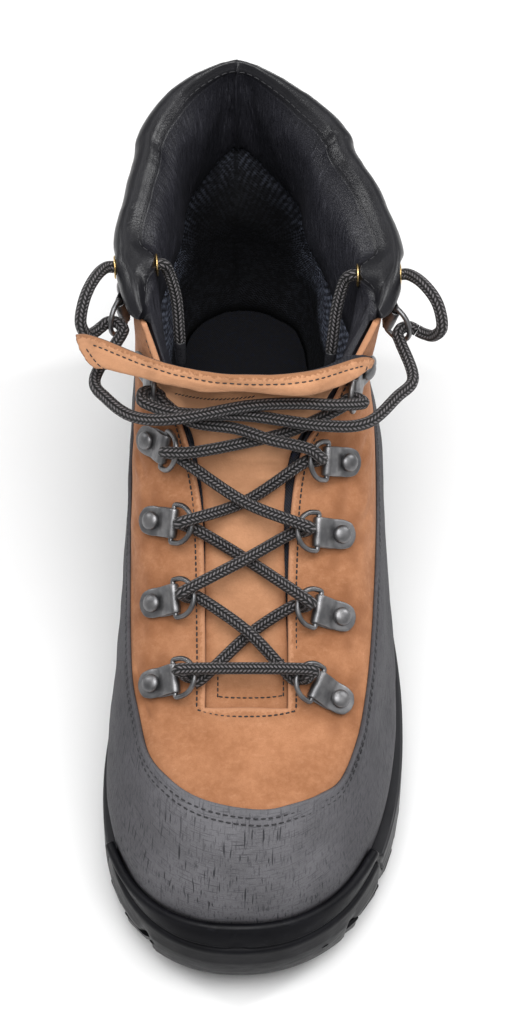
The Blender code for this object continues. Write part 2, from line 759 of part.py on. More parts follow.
def build_midsole(stuff):
    stations = sole_stations()
    count = len(stations)
    rings, points, faces = [], [], []
    for side, share, kind, along in stations:
        edge = sole_point(side, share)
        deck = base_z(edge[1]) + OUTSOLE_THICK
        ledge = station_feather(side, share) - SEAT
        line = []
        inner = LIP + 0.6 + SEAT + 0.15
        if kind == "side":
            line.append((sole_point(side, share, inner + 0.1), deck + SEAT))
            low = deck + LIP_RISE + SEAT
            line.append((sole_point(side, share, inner), low))
            for t, back in MIDSOLE:
                line.append((sole_point(side, share, back), low + (ledge - low) * t))
        else:
            low = deck + LIP_RISE + SEAT
            line.append((bumper_floor(side, share, 0.5), deck + SEAT))
            line.append((bumper_floor(side, share, 0.42), low))
            for t, back in MIDSOLE:
                line.append((bumper_floor(side, share, 0.4), low + (ledge - low) * (0.1 + 0.9 * t)))
        rings.append([len(points) + k for k in range(len(line))])
        points += [np.array([xy[0], xy[1], z]) for xy, z in line]
    for k in range(count):
        m = (k + 1) % count
        for r in range(len(rings[0]) - 1):
            quad(faces, rings[k][r], rings[m][r], rings[m][r + 1], rings[k][r + 1])
    pairs = cross_pairs(stations)
    for (a, b), (c, d) in zip(pairs, pairs[1:]):
        for level in (0, -1):
            face = [rings[v][level] for v in (a, b, d, c)]
            faces.append(tuple(v for i, v in enumerate(face) if v not in face[:i]))
    return make("midsole", points, faces, stuff)


INSOLE = ((0.0, 1.4), (1.5, 0.9), (4.4, 1.7))


def build_insole(stuff):
    """Footbed inside the upper, level with the feather line."""
    rings, points, faces = [], [], []
    for side, column in COLUMNS:
        line = []
        for rise, gap in INSOLE:
            level = rise / 100.0
            p = skin(level, side * column_arc(level, side, column), -WALL - SEAT - gap)
            feather = on_ring(0.0, side * column_arc(0.0, side, column))[2]
            line.append(np.array([p[0], p[1], feather + rise]))
        rings.append([len(points) + k for k in range(len(line))])
        points += line
    count = len(COLUMNS)
    for k in range(count):
        m = (k + 1) % count
        for r in range(len(rings[0]) - 1):
            quad(faces, rings[k][r], rings[m][r], rings[m][r + 1], rings[k][r + 1])
    front = COLUMNS.index((LATERAL, 0))
    pairs = [(front, front)] + [((front - i) % count, (front + i) % count) for i in range(1, count // 2)]
    pairs.append(((front + count // 2) % count,) * 2)
    for (a, b), (c, d) in zip(pairs, pairs[1:]):
        for level in (0, -1):
            face = [rings[v][level] for v in (a, b, d, c)]
            faces.append(tuple(v for i, v in enumerate(face) if v not in face[:i]))
    return make("insole", points, faces, stuff)


# ---------------------------------------------------------------- D-rings
# One row per ring: side, pair, level and arc of its rivet, turn in plan (+ towards the
# ankle), lift of the ring, stand of the clip off the leather.
RING_PLACES = (
    (MEDIAL, 1, 0.491, 39.5, 5.0, 8.0, 0.30), (LATERAL, 1, 0.487, 37.0, 24.0, 12.0, 0.30),
    (MEDIAL, 2, 0.584, 37.8, 6.0, 8.0, 0.30), (LATERAL, 2, 0.578, 36.5, 12.0, 12.0, 0.30),
    (MEDIAL, 3, 0.671, 37.8, -8.0, 8.0, 0.45), (LATERAL, 3, 0.666, 35.6, 4.0, 12.0, 0.45),
    (MEDIAL, 4, 0.752, 41.0, -18.0, 16.0, 1.10), (LATERAL, 4, 0.738, 38.6, 4.0, 14.0, 1.10),
    (MEDIAL, 5, 0.855, 47.0, -28.0, 24.0, 0.70), (LATERAL, 5, 0.862, 48.0, -26.0, 24.0, 0.70),
    (MEDIAL, 6, 0.903, 72.0, -68.0, 26.0, 0.50), (LATERAL, 6, 0.903, 74.0, -68.0, 42.0, 0.25))
BAR_X, BAR_Z = 9.2, 2.45
WIRE = 0.95
RING_HALF = 6.85
RING_LEG = 2.4
CLIP_THICK = 0.8
# Clip centre line: along it, height, width; it folds round the ring's bar.
CLIP_BARREL = 1.67
CLIP_LOW = ((-2.4, 0.74, 6.4), (1.5, 0.74, 10.6), (9.2, 0.78, 10.6))
CLIP_HIGH = ((5.6, 2.95, 10.6), (2.6, 1.72, 10.6), (-1.2, 1.66, 10.6), (-4.2, 1.66, 8.4), (-5.8, 1.66, 3.4))
RIVET_X, RIVET_R = -0.6, 3.35
SIDE_WORD = {MEDIAL: "medial", LATERAL: "lateral"}


def ring_frame(place):
    """Local frame of a ring: rivet point, direction to the throat, up the throat, outward."""
    side, _, level, arc, turn, _, stand = place
    p = skin(level, side * arc, stand - SEAT)
    n = normal(level, side * arc)
    plan = np.array([-side * math.cos(math.radians(turn)), math.sin(math.radians(turn)), 0.0])
    along = plan - n * np.dot(n, plan)
    along = along / np.linalg.norm(along)
    up = np.cross(n, along) * -side
    return p, along, up, n


def ring_plane(place):
    """Bar centre, direction of the D, direction up the throat, normal of the D."""
    p, along, up, n = ring_frame(place)
    lift = math.radians(place[5])
    bar = p + along * BAR_X + n * BAR_Z
    d = along * math.cos(lift) + n * math.sin(lift)
    m = n * math.cos(lift) - along * math.sin(lift)
    return bar, d, up, m


def build_clip(place, name, stuff):
    p, along, up, n = ring_frame(place)
    path = [(x, z, w) for x, z, w in CLIP_LOW]
    for angle in (-35.0, 35.0, 90.0):
        t = math.radians(angle)
        path.append((BAR_X + CLIP_BARREL * math.cos(t), BAR_Z + CLIP_BARREL * math.sin(t), 10.6))
    path += list(CLIP_HIGH)
    sections = []
    for i, (x, z, w) in enumerate(path):
        a, b = path[max(i - 1, 0)], path[min(i + 1, len(path) - 1)]
        dx, dz = b[0] - a[0], b[1] - a[1]
        size = math.hypot(dx, dz)
        ox, oz = -dz / size * CLIP_THICK / 2.0, dx / size * CLIP_THICK / 2.0
        corners = []
        for sx, sw in ((1, -1), (1, 1), (-1, 1), (-1, -1)):
            corners.append(p + along * (x + sx * ox) + n * (z + sx * oz) + up * (sw * w / 2.0))
        sections.append(corners)
    return swept(name, sections, stuff)


def build_ring(place, name, stuff):
    bar, d, up, m = ring_plane(place)
    plan = [(0.0, -RING_HALF), (RING_LEG, -RING_HALF)]
    for angle in (-60.0, -30.0, 0.0, 30.0, 60.0):
        t = math.radians(angle)
        plan.append((RING_LEG + RING_HALF * math.cos(t), RING_HALF * math.sin(t)))
    plan += [(RING_LEG, RING_HALF), (0.0, RING_HALF)]
    path = [bar + d * u + up * w for u, w in plan]
    return tube(name, path, WIRE, stuff, sides=5, wrap=True)


def build_rivet(place, name, stuff):
    p, along, up, n = ring_frame(place)
    centre = p + along * RIVET_X
    base = CLIP_HIGH[-1][1] + CLIP_THICK / 2.0 + SEAT + 0.15
    points, faces, sides = [], [], 8
    for radius, height in ((RIVET_R, base), (RIVET_R, base + 0.5), (RIVET_R * 0.66, base + 1.6)):
        for k in range(sides):
            t = 2.0 * math.pi * k / sides
            points.append(centre + n * height + radius * (math.cos(t) * along + math.sin(t) * up))
    points.append(centre + n * (base + 1.9))
    faces.append(tuple(range(sides)))
    for r in range(2):
        for k in range(sides):
            m = (k + 1) % sides
            quad(faces, r * sides + k, r * sides + m, (r + 1) * sides + m, (r + 1) * sides + k)
    for k in range(sides):
        faces.append((2 * sides + k, 2 * sides + (k + 1) % sides, 3 * sides))
    return make(name, points, faces, stuff)


# ---------------------------------------------------------------- lace
LACE = 2.15
TURN = WIRE + LACE + 0.85


def place_of(side, pair):
    return next(r for r in RING_PLACES if r[0] == side and r[1] == pair)


def thread(side, pair, first="under", shift=1.4):
    """Lace points round the D's front wire, from below to above or the other way."""
    bar, d, up, m = ring_plane(place_of(side, pair))
    wire = bar + d * (RING_LEG + RING_HALF)
    points = []
    for k, angle in enumerate((-90.0, -135.0, 180.0, 135.0, 90.0)):
        t = math.radians(angle)
        points.append(wire + TURN * (math.cos(t) * d + math.sin(t) * m) + up * shift * (k - 2) / 2.0)
    return points if first == "under" else points[::-1]


# Middle of each crossing: level, arc, height of the lower strand.
CROSSINGS = {1: (0.590, 0.9, 2.4), 2: (0.668, -0.4, 2.4), 3: (0.732, -0.9, 2.6)}
STACK = 2.0 * LACE + 0.85
# Ankle runs in front of the tongue, lowest first: points from the inner to the outer side.
RUNS = {
    1: ((-15.0, -119.8, 139.2), (4.0, -115.8, 139.8), (20.0, -111.8, 141.4)),
    2: ((-16.0, -110.8, 145.2), (0.0, -114.0, 145.2), (12.0, -118.2, 144.4), (25.0, -119.6, 141.2)),
    3: ((-32.4, -106.9, 151.0), (-20.0, -111.0, 150.4), (4.0, -111.9, 150.2), (30.0, -115.0, 148.5),
        (46.0, -113.2, 147.6)),
    4: ((-36.0, -112.5, 150.2), (-21.0, -115.8, 153.6), (4.0, -111.4, 155.2), (22.0, -110.6, 155.6),
        (34.0, -110.2, 154.2))}
RISE_IN = ((-46.0, -104.0, 149.5), (-50.5, -95.0, 150.0))
RISE_OUT = ((57.0, -102.0, 148.0), (63.0, -93.5, 148.0))


def crossing(number, high):
    level, arc, height = CROSSINGS[number]
    return skin(level, arc, height + (STACK if high else 0.0))


def points_of(rows, backwards=False):
    line = [np.array(p) for p in rows]
    return line[::-1] if backwards else line


def lace_path():
    """Whole laced run, from the outer top ring to the inner top ring."""
    one = thread(MEDIAL, 1, "over")
    one += [crossing(1, False)] + thread(LATERAL, 2)
    one += [crossing(2, False)] + thread(MEDIAL, 3)
    one += [crossing(3, False)] + thread(LATERAL, 4)
    one += points_of(RUNS[2], True) + thread(MEDIAL, 5)
    one += points_of(RUNS[3]) + points_of(RISE_OUT) + thread(LATERAL, 6, "under", 0.6)
    two = thread(LATERAL, 1, "over")
    two += [crossing(1, True)] + thread(MEDIAL, 2)
    two += [crossing(2, True)] + thread(LATERAL, 3)
    two += [crossing(3, True)] + thread(MEDIAL, 4)
    two += points_of(RUNS[1]) + thread(LATERAL, 5)
    two += points_of(RUNS[4], True) + points_of(RISE_IN) + thread(MEDIAL, 6, "under", 0.6)
    return one[::-1] + two


def build_lacing(stuff):
    return tube("lacing", lace_path(), LACE, stuff, sides=6)


# Collar eyelets: side, level, arc on the outside, and how far its ends stand off.
EYELETS = {MEDIAL: (0.974, 73.0), LATERAL: (0.974, 75.0)}
EYELET_BORE, EYELET_BARREL, EYELET_RIM, EYELET_HOLE = 2.5, 2.95, 4.2, 3.3
EYELET_SIDES = 10


def eyelet_axis(side):
    """Outside mouth, inside mouth and direction inwards."""
    level, arc = EYELETS[side]
    out = skin(level, side * arc)
    n = normal(level, side * arc)
    n = np.array([n[0], n[1], 0.0])
    n = n / np.linalg.norm(n)
    share = arc / half_length(level, side)
    inside = on_ring(level, side * share * half_length(level, side, 10.6), 10.6)
    depth = abs(np.dot(out - inside, n))
    return out + n * 3.3, out - n * (depth + 1.9), -n


def round_frame(axis):
    a = np.cross(axis, (0.0, 0.0, 1.0))
    a = a / np.linalg.norm(a)
    return a, np.cross(axis, a)


def build_eyelet(side, name, stuff):
    start, end, axis = eyelet_axis(side)
    length = np.linalg.norm(end - start)
    a, b = round_frame(axis)
    outline = ((0.0, EYELET_RIM), (0.6, EYELET_RIM), (0.6, EYELET_BARREL), (length - 0.6, EYELET_BARREL),
               (length - 0.6, EYELET_RIM), (length, EYELET_RIM), (length, EYELET_BORE), (0.0, EYELET_BORE))
    sections = []
    for k in range(EYELET_SIDES):
        t = 2.0 * math.pi * k / EYELET_SIDES
        sections.append([start + axis * s + r * (math.cos(t) * a + math.sin(t) * b) for s, r in outline])
    return swept(name, sections, stuff, wrap=True)


def cut_eyelet_hole(body, side):
    start, end, axis = eyelet_axis(side)
    a, b = round_frame(axis)
    sections = []
    for p in (start - axis * 6.0, end + axis * 6.0):
        sections.append([p + EYELET_HOLE * (math.cos(t) * a + math.sin(t) * b)
                         for t in (2.0 * math.pi * k / EYELET_SIDES for k in range(EYELET_SIDES))])
    cutter = swept("cutter", sections, body.data.materials[0])
    cut = body.modifiers.new("eyelet", "BOOLEAN")
    cut.operation = "DIFFERENCE"
    cut.solver = "EXACT"
    cut.object = cutter
    bpy.context.view_layer.update()
    graph = bpy.context.evaluated_depsgraph_get()
    mesh = bpy.data.meshes.new_from_object(body.evaluated_get(graph))
    body.modifiers.clear()
    body.data = mesh
    bpy.data.objects.remove(cutter, do_unlink=True)
    work = bmesh.new()
    work.from_mesh(mesh)
    bmesh.ops.triangulate(work, faces=[f for f in work.faces if len(f.verts) > 3])
    work.to_mesh(mesh)
    work.free()


# Free loops: from the top ring out and up to the collar eyelet, then the end inside.
LOOP_IN = ((-53.8, -78.6, 154.2), (-55.8, -77.4, 160.0), (-54.2, -70.5, 165.2), (-51.0, -62.5, 166.2))
LOOP_OUT = ((71.0, -77.6, 152.4), (73.4, -78.2, 158.4), (71.6, -72.6, 164.6), (67.0, -65.5, 166.4))
END_IN = ((-24.5, -55.5, 160.5), (-22.0, -61.0, 153.0), (-21.0, -69.0, 143.0), (-20.5, -74.0, 130.0))
END_OUT = ((38.5, -60.0, 160.5), (36.0, -66.0, 153.0), (34.5, -74.0, 143.0), (33.0, -79.0, 130.0))


def loop_path(side):
    laced = lace_path()
    last, before = (laced[-1], laced[-2]) if side == MEDIAL else (laced[0], laced[1])
    step = (last - before) / np.linalg.norm(last - before)
    start, end, axis = eyelet_axis(side)
    path = [last + step * SEAT, last + step * (SEAT + 3.0)]
    path += points_of(LOOP_IN if side == MEDIAL else LOOP_OUT)
    path += [start - axis * 3.0, start + axis * 2.0, end - axis * 2.0, end + axis * 2.0]
    path += points_of(END_IN if side == MEDIAL else END_OUT)
    return path


def build_loop(side, name, stuff):
    return tube(name, loop_path(side), LACE, stuff, sides=6)


# ---------------------------------------------------------------- assembly
def main():
    clear_scene()
    tan = material("tan_nubuck", (0.56, 0.28, 0.13), 0.85)
    grey = material("grey_leather", (0.10, 0.10, 0.11), 0.8)
    black = material("black_leather", (0.02, 0.02, 0.022), 0.6)
    rubber = material("black_rubber", (0.02, 0.02, 0.02), 0.8)
    foam = material("black_foam", (0.03, 0.03, 0.03), 0.8)
    textile = material("footbed_textile", (0.05, 0.05, 0.06), 0.9)
    steel = material("gunmetal", (0.16, 0.165, 0.17), 0.4, 1.0)
    brass = material("brass", (0.60, 0.42, 0.15), 0.35, 1.0)
    braid = material("black_braid", (0.012, 0.012, 0.013), 0.85)
    upper = build_upper(tan)
    build_rand(grey)
    collar = build_cuff(black)
    build_tongue(tan)
    build_gusset(MEDIAL, "gusset_medial", black)
    build_gusset(LATERAL, "gusset_lateral", black)
    build_outsole(rubber)
    build_midsole(foam)
    build_insole(textile)
    for place in RING_PLACES:
        word = "_%s_%d" % (SIDE_WORD[place[0]], place[1])
        build_clip(place, "ring_clip" + word, steel)
        build_ring(place, "d_ring" + word, steel)
        build_rivet(place, "rivet" + word, steel)
    for side in (MEDIAL, LATERAL):
        cut_eyelet_hole(collar, side)
        cut_eyelet_hole(upper, side)
        build_eyelet(side, "eyelet_" + SIDE_WORD[side], brass)
        build_loop(side, "lace_loop_" + SIDE_WORD[side], braid)
    build_lacing(braid)


main()
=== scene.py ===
"""Looks of a left trekking boot: toe towards -Y, outer side towards +X, standing on its sole.

Tables and sizes are in millimetres; meshes are written in metres.
"""
import math

import bmesh
import bpy
import numpy as np
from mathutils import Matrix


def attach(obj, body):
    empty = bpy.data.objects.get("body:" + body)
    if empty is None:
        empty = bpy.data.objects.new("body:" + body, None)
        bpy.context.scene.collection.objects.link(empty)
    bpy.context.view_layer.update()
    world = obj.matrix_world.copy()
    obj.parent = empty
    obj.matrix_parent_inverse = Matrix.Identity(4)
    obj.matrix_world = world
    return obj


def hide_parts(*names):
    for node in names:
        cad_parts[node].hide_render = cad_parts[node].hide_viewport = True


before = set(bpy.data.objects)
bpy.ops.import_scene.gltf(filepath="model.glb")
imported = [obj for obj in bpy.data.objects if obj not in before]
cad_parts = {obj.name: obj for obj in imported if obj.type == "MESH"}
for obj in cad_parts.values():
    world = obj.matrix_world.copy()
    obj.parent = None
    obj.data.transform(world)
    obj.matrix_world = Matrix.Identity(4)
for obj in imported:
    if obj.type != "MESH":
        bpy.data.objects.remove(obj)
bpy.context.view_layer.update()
MM = 0.001
# One unit of UV, in millimetres.
UV_UNIT = 100.0
MEDIAL, LATERAL = SIDES = -1, 1
SIDE_WORD = {MEDIAL: "medial", LATERAL: "lateral"}
CIRCLE = 2.0 * math.pi
FLAT = np.array([1.0, 1.0, 0.0])
# Height of one unit of level, up the vamp and up the shaft.
VAMP_RISE, SHAFT_RISE = 285.0, 240.0


# ---------------------------------------------------------------- numbers and lines
def gauss(x, width):
    return np.exp(-(np.asarray(x, float) / width) ** 2)


def rise(x, low, span):
    """0 up to low, 1 from low + span."""
    return np.clip((x - low) / span, 0.0, 1.0)


def ease(t):
    return t * t * (3.0 - 2.0 * t)


def hump(t):
    """0 at 0 and 1, 1 half way."""
    return np.sin(math.pi * np.clip(t, 0.0, 1.0))


def unit(v):
    return v / np.linalg.norm(v, axis=-1, keepdims=True)


def side_of(x):
    return np.where(np.asarray(x) < 0, MEDIAL, LATERAL)


def arc_of(points):
    """Length along a line of points, from its start."""
    return np.concatenate([[0.0], np.cumsum(np.linalg.norm(np.diff(points, axis=0), axis=1))])


def at_arc(s, arc, points):
    """Points of a line at lengths s."""
    return np.stack([np.interp(s, arc, column) for column in np.transpose(points)], -1)


def lifted(plan, z):
    """Plan points with heights."""
    return np.concatenate([plan, np.broadcast_to(z, (len(plan),))[:, None]], 1)


def hermite(t, step, a, b, slope_a, slope_b):
    return ((1.0 + 2.0 * t) * (1.0 - t) ** 2 * a + t * (1.0 - t) ** 2 * step * slope_a
            + ease(t) * b + t * t * (t - 1.0) * step * slope_b)


def catmull(p0, p1, p2, p3, t):
    return 0.5 * (2 * p1 + (p2 - p0) * t + (2 * p0 - 5 * p1 + 4 * p2 - p3) * t ** 2
                  + (3 * p1 - p0 - 3 * p2 + p3) * t ** 3)


def smooth(table, x, column=1):
    """Monotone cubic through a table's first column and another; flat beyond the ends."""
    xs, ys = (np.array([row[k] for row in table], float) for k in (0, column))
    step = np.diff(xs)
    slope = np.diff(ys) / step
    tangent = np.zeros(len(xs))
    for i in range(1, len(xs) - 1):
        if slope[i - 1] * slope[i] > 0.0:
            a, b = 2.0 * step[i] + step[i - 1], step[i] + 2.0 * step[i - 1]
            tangent[i] = (a + b) / (a / slope[i - 1] + b / slope[i])
    x = np.clip(x, xs[0], xs[-1])
    i = np.clip(np.searchsorted(xs, x, side="right") - 1, 0, len(step) - 1)
    return hermite((x - xs[i]) / step[i], step[i], ys[i], ys[i + 1], tangent[i], tangent[i + 1])


def spline(points, count, closed=False):
    """Catmull-Rom curve through points, evenly spaced by length."""
    p = np.asarray(points, float)
    first, last = (p[-1:], p[:2]) if closed else (2 * p[:1] - p[1:2], 2 * p[-1:] - p[-2:-1])
    p = np.concatenate([first, p, last])
    t = np.linspace(0.0, 1.0, 24, endpoint=False)[:, None]
    fine = np.concatenate([catmull(*p[i - 1:i + 3], t) for i in range(1, len(p) - 2)] + [p[-2:-1]])
    arc = arc_of(fine)
    return at_arc(np.linspace(0.0, arc[-1], count, endpoint=not closed), arc, fine)


def ripple(points, size, seed):
    """Smooth noise over points in millimetres, about -1 to 1, made of fixed waves."""
    source = np.random.default_rng(seed)
    total = np.zeros(points.shape[:-1])
    for share in (1.0, 0.55, 0.55 ** 2):
        for _ in range(6):
            direction = unit(source.normal(size=3))
            phase = source.uniform(0.0, CIRCLE)
            wave = CIRCLE / (size * share) * source.uniform(0.7, 1.3)
            total += share * np.sin(points @ direction * wave + phase)
    return total / 3.2


# ---------------------------------------------------------------- last
RING_COLUMNS = (
    "level", "front_x", "front_y", "front_z", "back_y", "back_z",
    "nose_in", "nose_out", "fore_in", "fore_out", "mid_in", "mid_out",
    "rear_in", "rear_out", "heel", "toe_power", "heel_power")
RINGS = np.array((
    (0.00, 0.5, -251.0, 32.0, 36.0, 36.0, 62, 95, 45.5, 57.5, 34.0, 50.0, 35.0, 40.0, 42, 2.30, 2.2),
    (0.12, 0.5, -250.5, 44.0, 41.0, 55.0, 64, 95, 46.5, 58.0, 37.5, 53.0, 38.0, 43.5, 42, 2.30, 2.2),
    (0.26, 1.0, -243.5, 58.0, 41.5, 76.0, 72, 98, 43.5, 54.5, 39.5, 54.5, 38.5, 44.0, 40, 2.20, 2.2),
    (0.40, 2.0, -224.0, 71.5, 38.0, 93.0, 88, 102, 40.5, 53.0, 39.5, 51.0, 37.0, 42.5, 38, 2.50, 2.2),
    (0.52, 3.3, -191.0, 84.5, 34.0, 109.0, 86, 98, 39.0, 51.5, 37.0, 47.0, 34.0, 39.5, 36, 2.80, 2.1),
    (0.64, 3.6, -153.0, 103.5, 31.5, 125.0, 63, 70, 38.0, 50.0, 35.0, 44.0, 32.0, 37.0, 35, 2.80, 2.0),
    (0.77, 4.0, -120.0, 127.5, 30.0, 143.0, 55, 52, 37.5, 48.5, 34.5, 42.0, 31.5, 36.0, 34, 2.40, 1.8),
    (0.88, 4.5, -108.0, 146.0, 29.5, 161.0, 50, 46, 38.5, 52.5, 35.5, 44.0, 31.0, 35.5, 34, 2.00, 1.6),
    (1.00, 5.0, -103.0, 162.0, 29.0, 180.0, 55, 45, 42.0, 56.5, 37.0, 48.0, 32.0, 36.0, 35, 2.00, 1.45)))
SOLE_OUTLINE = (0.0, 0.5, -263.0, 0.0, 42.0, 0.0, 73, 103, 50.2, 62.5, 39.0, 54.0, 39.5, 45.0, 45, 2.30, 2.3)
# Height of the line where the upper meets the sole, by y.
FEATHER = ((-262.0, 33.5), (-245.0, 30.0), (-215.0, 26.8), (-180.0, 26.0), (-130.0, 28.5),
           (-70.0, 33.5), (0.0, 36.5), (45.0, 37.5))
LEVEL_STEP, LEVEL_COUNT, HALF_COUNT = 0.004, 271, 600
LEVEL_GRID = np.arange(LEVEL_COUNT) * LEVEL_STEP
INSETS = (0.0, 4.0, 8.0, 12.0)


def ring_row(level):
    """The table row at any level, by cubic interpolation between the rows."""
    levels = RINGS[:, 0]
    slopes = np.gradient(RINGS, levels, axis=0)
    if level >= levels[-1]:
        values = RINGS[-1] + slopes[-1] * (level - levels[-1])
    else:
        i = min(int(np.searchsorted(levels, level, side="right")) - 1, len(levels) - 2)
        step = levels[i + 1] - levels[i]
        values = hermite((level - levels[i]) / step, step, RINGS[i], RINGS[i + 1], slopes[i], slopes[i + 1])
    return dict(zip(RING_COLUMNS, values))


def plan_side(row, side, samples=700):
    """Dense plan points of one side, front centre to back centre: x, y."""
    key = "in" if side == MEDIAL else "out"
    front, back = row["front_y"], row["back_y"]
    y = front + (back - front) * (1.0 - np.cos(np.linspace(0.0, math.pi, samples))) / 2.0
    full, rear = front + row["nose_" + key], back - row["heel"]
    width = smooth(((full, row["fore_" + key]), ((full + rear) / 2.0, row["mid_" + key]),
                    (rear, row["rear_" + key])), y)

    def bend(x, power):
        return np.clip(1.0 - x ** power, 0.0, 1.0) ** (1.0 / power)

    toe = bend(1.0 - rise(y, front, full - front), row["toe_power"])
    return side * width * toe * bend(rise(y, rear, back - rear), row["heel_power"]) + row["front_x"] * (1.0 - toe), y


def side_points(level, side, inset):
    """Evenly spaced points of one side of a level, and the side's length."""
    row = ring_row(level)
    y0, z0 = row["front_y"], row["front_z"]
    slope = (row["back_z"] - z0) / (row["back_y"] - y0)
    row["front_y"] += inset
    row["back_y"] -= inset
    row["heel"] -= inset * 0.6
    for key in ("in", "out"):
        row["nose_" + key] = max(row["nose_" + key] - inset, 10.0)
        for name in ("fore_", "mid_", "rear_"):
            row[name + key] -= inset
    x, y = plan_side(row, side)
    base = dict(zip(RING_COLUMNS, RINGS[0]))
    tilt = (base["back_z"] - base["front_z"]) / (base["back_y"] - base["front_y"])
    flat = base["front_z"] + tilt * (y - base["front_y"])
    z = z0 + slope * (y - y0) + max(0.0, 1.0 - level / 0.40) ** 1.5 * (smooth(FEATHER, y) - flat)
    points = np.stack([x, y, z], 1)
    arc = arc_of(points)
    return at_arc(np.linspace(0.0, arc[-1], HALF_COUNT + 1), arc, points), arc[-1]


def last_grid(inset):
    """Points of the whole last by level and share (-1 to 1), half lengths and normals."""
    points = np.zeros((LEVEL_COUNT, 2 * HALF_COUNT + 1, 3))
    halves = np.zeros((LEVEL_COUNT, 2))
    for i in range(LEVEL_COUNT):
        (left, halves[i, 0]), (right, halves[i, 1]) = (side_points(i * LEVEL_STEP, side, inset) for side in SIDES)
        points[i] = np.concatenate([left[:0:-1], right])
    reach = 3
    wrapped = np.concatenate([points[:, -1 - reach:-1], points, points[:, 1:1 + reach]], 1)
    rows = np.arange(LEVEL_COUNT)
    up = points[np.minimum(rows + reach, LEVEL_COUNT - 1)] - points[np.maximum(rows - reach, 0)]
    return points, halves, unit(np.cross(wrapped[:, 2 * reach:] - wrapped[:, :-2 * reach], up))


LAST = [last_grid(inset) for inset in INSETS]


def read(table, level, share):
    """Bilinear reading of a last table at level and share."""
    u = np.clip(np.asarray(level, float) / LEVEL_STEP, 0.0, LEVEL_COUNT - 1.001)
    v = np.mod(np.asarray(share, float) + 1.0, 2.0) * HALF_COUNT
    u, v = np.broadcast_arrays(u, np.clip(v, 0.0, 2 * HALF_COUNT - 0.001))
    i, j = u.astype(int), v.astype(int)
    a, b = (u - i)[..., None], (v - j)[..., None]
    return ((table[i, j] * (1 - b) + table[i, j + 1] * b) * (1 - a)
            + (table[i + 1, j] * (1 - b) + table[i + 1, j + 1] * b) * a)


def half_length(level, side, k=0):
    """Length of one side of a level, for arrays of level and side."""
    left, right = (np.interp(level, LEVEL_GRID, LAST[k][1][:, i]) for i in (0, 1))
    return np.where(np.asarray(side) < 0, left, right)


def share_of(level, arc):
    return arc / half_length(level, side_of(arc))


def foot_line(share):
    """Points and normals of the feather line."""
    return read(LAST[0][0], 0.0, share), read(LAST[0][2], 0.0, share)


def normal(level, arc):
    return unit(read(LAST[0][2], level, share_of(level, arc)))


def skin(level, arc, offset=0.0):
    """Points at an offset outside the last's surface."""
    return (read(LAST[0][0], level, share_of(level, arc))
            + normal(level, arc) * np.asarray(offset, float)[..., None])


def between_insets(inset):
    """Number of the table below an inset and the way on to the next."""
    k = np.clip(inset / INSETS[1], 0.0, len(INSETS) - 1.001)
    return k.astype(int), k - k.astype(int)


def inside(level, share, inset):
    """Points on the last drawn in by an inset, at a share of each side."""
    level, share, inset = np.broadcast_arrays(np.asarray(level, float), share, inset)
    low, t = between_insets(inset)
    stack = np.stack([read(grid[0], level, share) for grid in LAST])
    take = np.indices(low.shape)
    return stack[(low, *take)] * (1 - t[..., None]) + stack[(low + 1, *take)] * t[..., None]


# ---------------------------------------------------------------- lines of the upper
# Throat edge: level, arc on the inner and the outer side.
THROAT = ((0.0, 15.0, 15.0), (0.513, 14.8, 15.1), (0.62, 15.2, 14.8), (0.705, 16.4, 15.6),
          (0.79, 23.0, 20.0), (0.84, 30.0, 31.0), (0.92, 42.0, 46.0), (1.0, 50.0, 57.0))
THROAT_COLUMNS, SIDE_COLUMNS = 3, 18
BACK_COLUMN = THROAT_COLUMNS + SIDE_COLUMNS
WALL, SEAT, THROAT_LEVEL = 2.6, 0.32, 0.517
# Levels by share of the side columns: the rand's border on both sides, the cuff's line and top.
BORDER_IN = ((0.0, 0.398), (0.06, 0.395), (0.12, 0.385), (0.17, 0.405), (0.21, 0.412), (0.25, 0.44),
             (0.31, 0.50), (0.45, 0.55), (0.75, 0.56), (1.0, 0.55))
BORDER_OUT = ((0.0, 0.388), (0.06, 0.376), (0.11, 0.358), (0.16, 0.380), (0.20, 0.418), (0.25, 0.470),
              (0.31, 0.515), (0.45, 0.55), (0.75, 0.56), (1.0, 0.55))
CUFF_LINE = ((0.0, 0.965), (0.16, 0.950), (0.28, 0.942), (0.42, 0.90), (0.7, 0.88), (1.0, 0.88))
CUFF_TOP = ((0.0, 0.985), (0.05, 0.994), (0.12, 1.0), (1.0, 1.0))
BORDER_ROWS, VAMP_ROWS, SHAFT_ROWS = 4, 3, 6
THROAT_ROW = BORDER_ROWS + VAMP_ROWS
TOP_ROW = THROAT_ROW + SHAFT_ROWS


def throat_arc(level, side):
    return np.where(np.asarray(side) < 0, smooth(THROAT, level, 1), smooth(THROAT, level, 2))


def side_share(column):
    return np.maximum(0.0, (np.abs(column) - THROAT_COLUMNS) / SIDE_COLUMNS)


def spread(column):
    """Share of the way from the throat to the back, with wider columns at the ankle."""
    share = side_share(column)
    return share - 0.22 * np.sin(CIRCLE * share) / CIRCLE


def column_arc(level, column):
    """Signed arc of a mesh column, negative on the inner side."""
    edge, side = throat_arc(level, column), side_of(column)
    far = edge + (half_length(level, side) - edge) * spread(column)
    return side * np.where(np.abs(column) <= THROAT_COLUMNS, edge * np.abs(column) / THROAT_COLUMNS, far)


def border_level(column):
    """Level of the rand's upper border, blended from side to side across the toe."""
    share, t = side_share(column), ease(rise(np.asarray(column, float), -2.6, 5.2))
    return smooth(BORDER_IN, share) * (1.0 - t) + smooth(BORDER_OUT, share) * t


def cuff_level(column):
    return smooth(CUFF_LINE, side_share(column))


def sag(reach):
    """How far the throat's lower edge falls towards its corners, as a level."""
    return 0.005 * np.minimum(reach, 1.0) ** 2


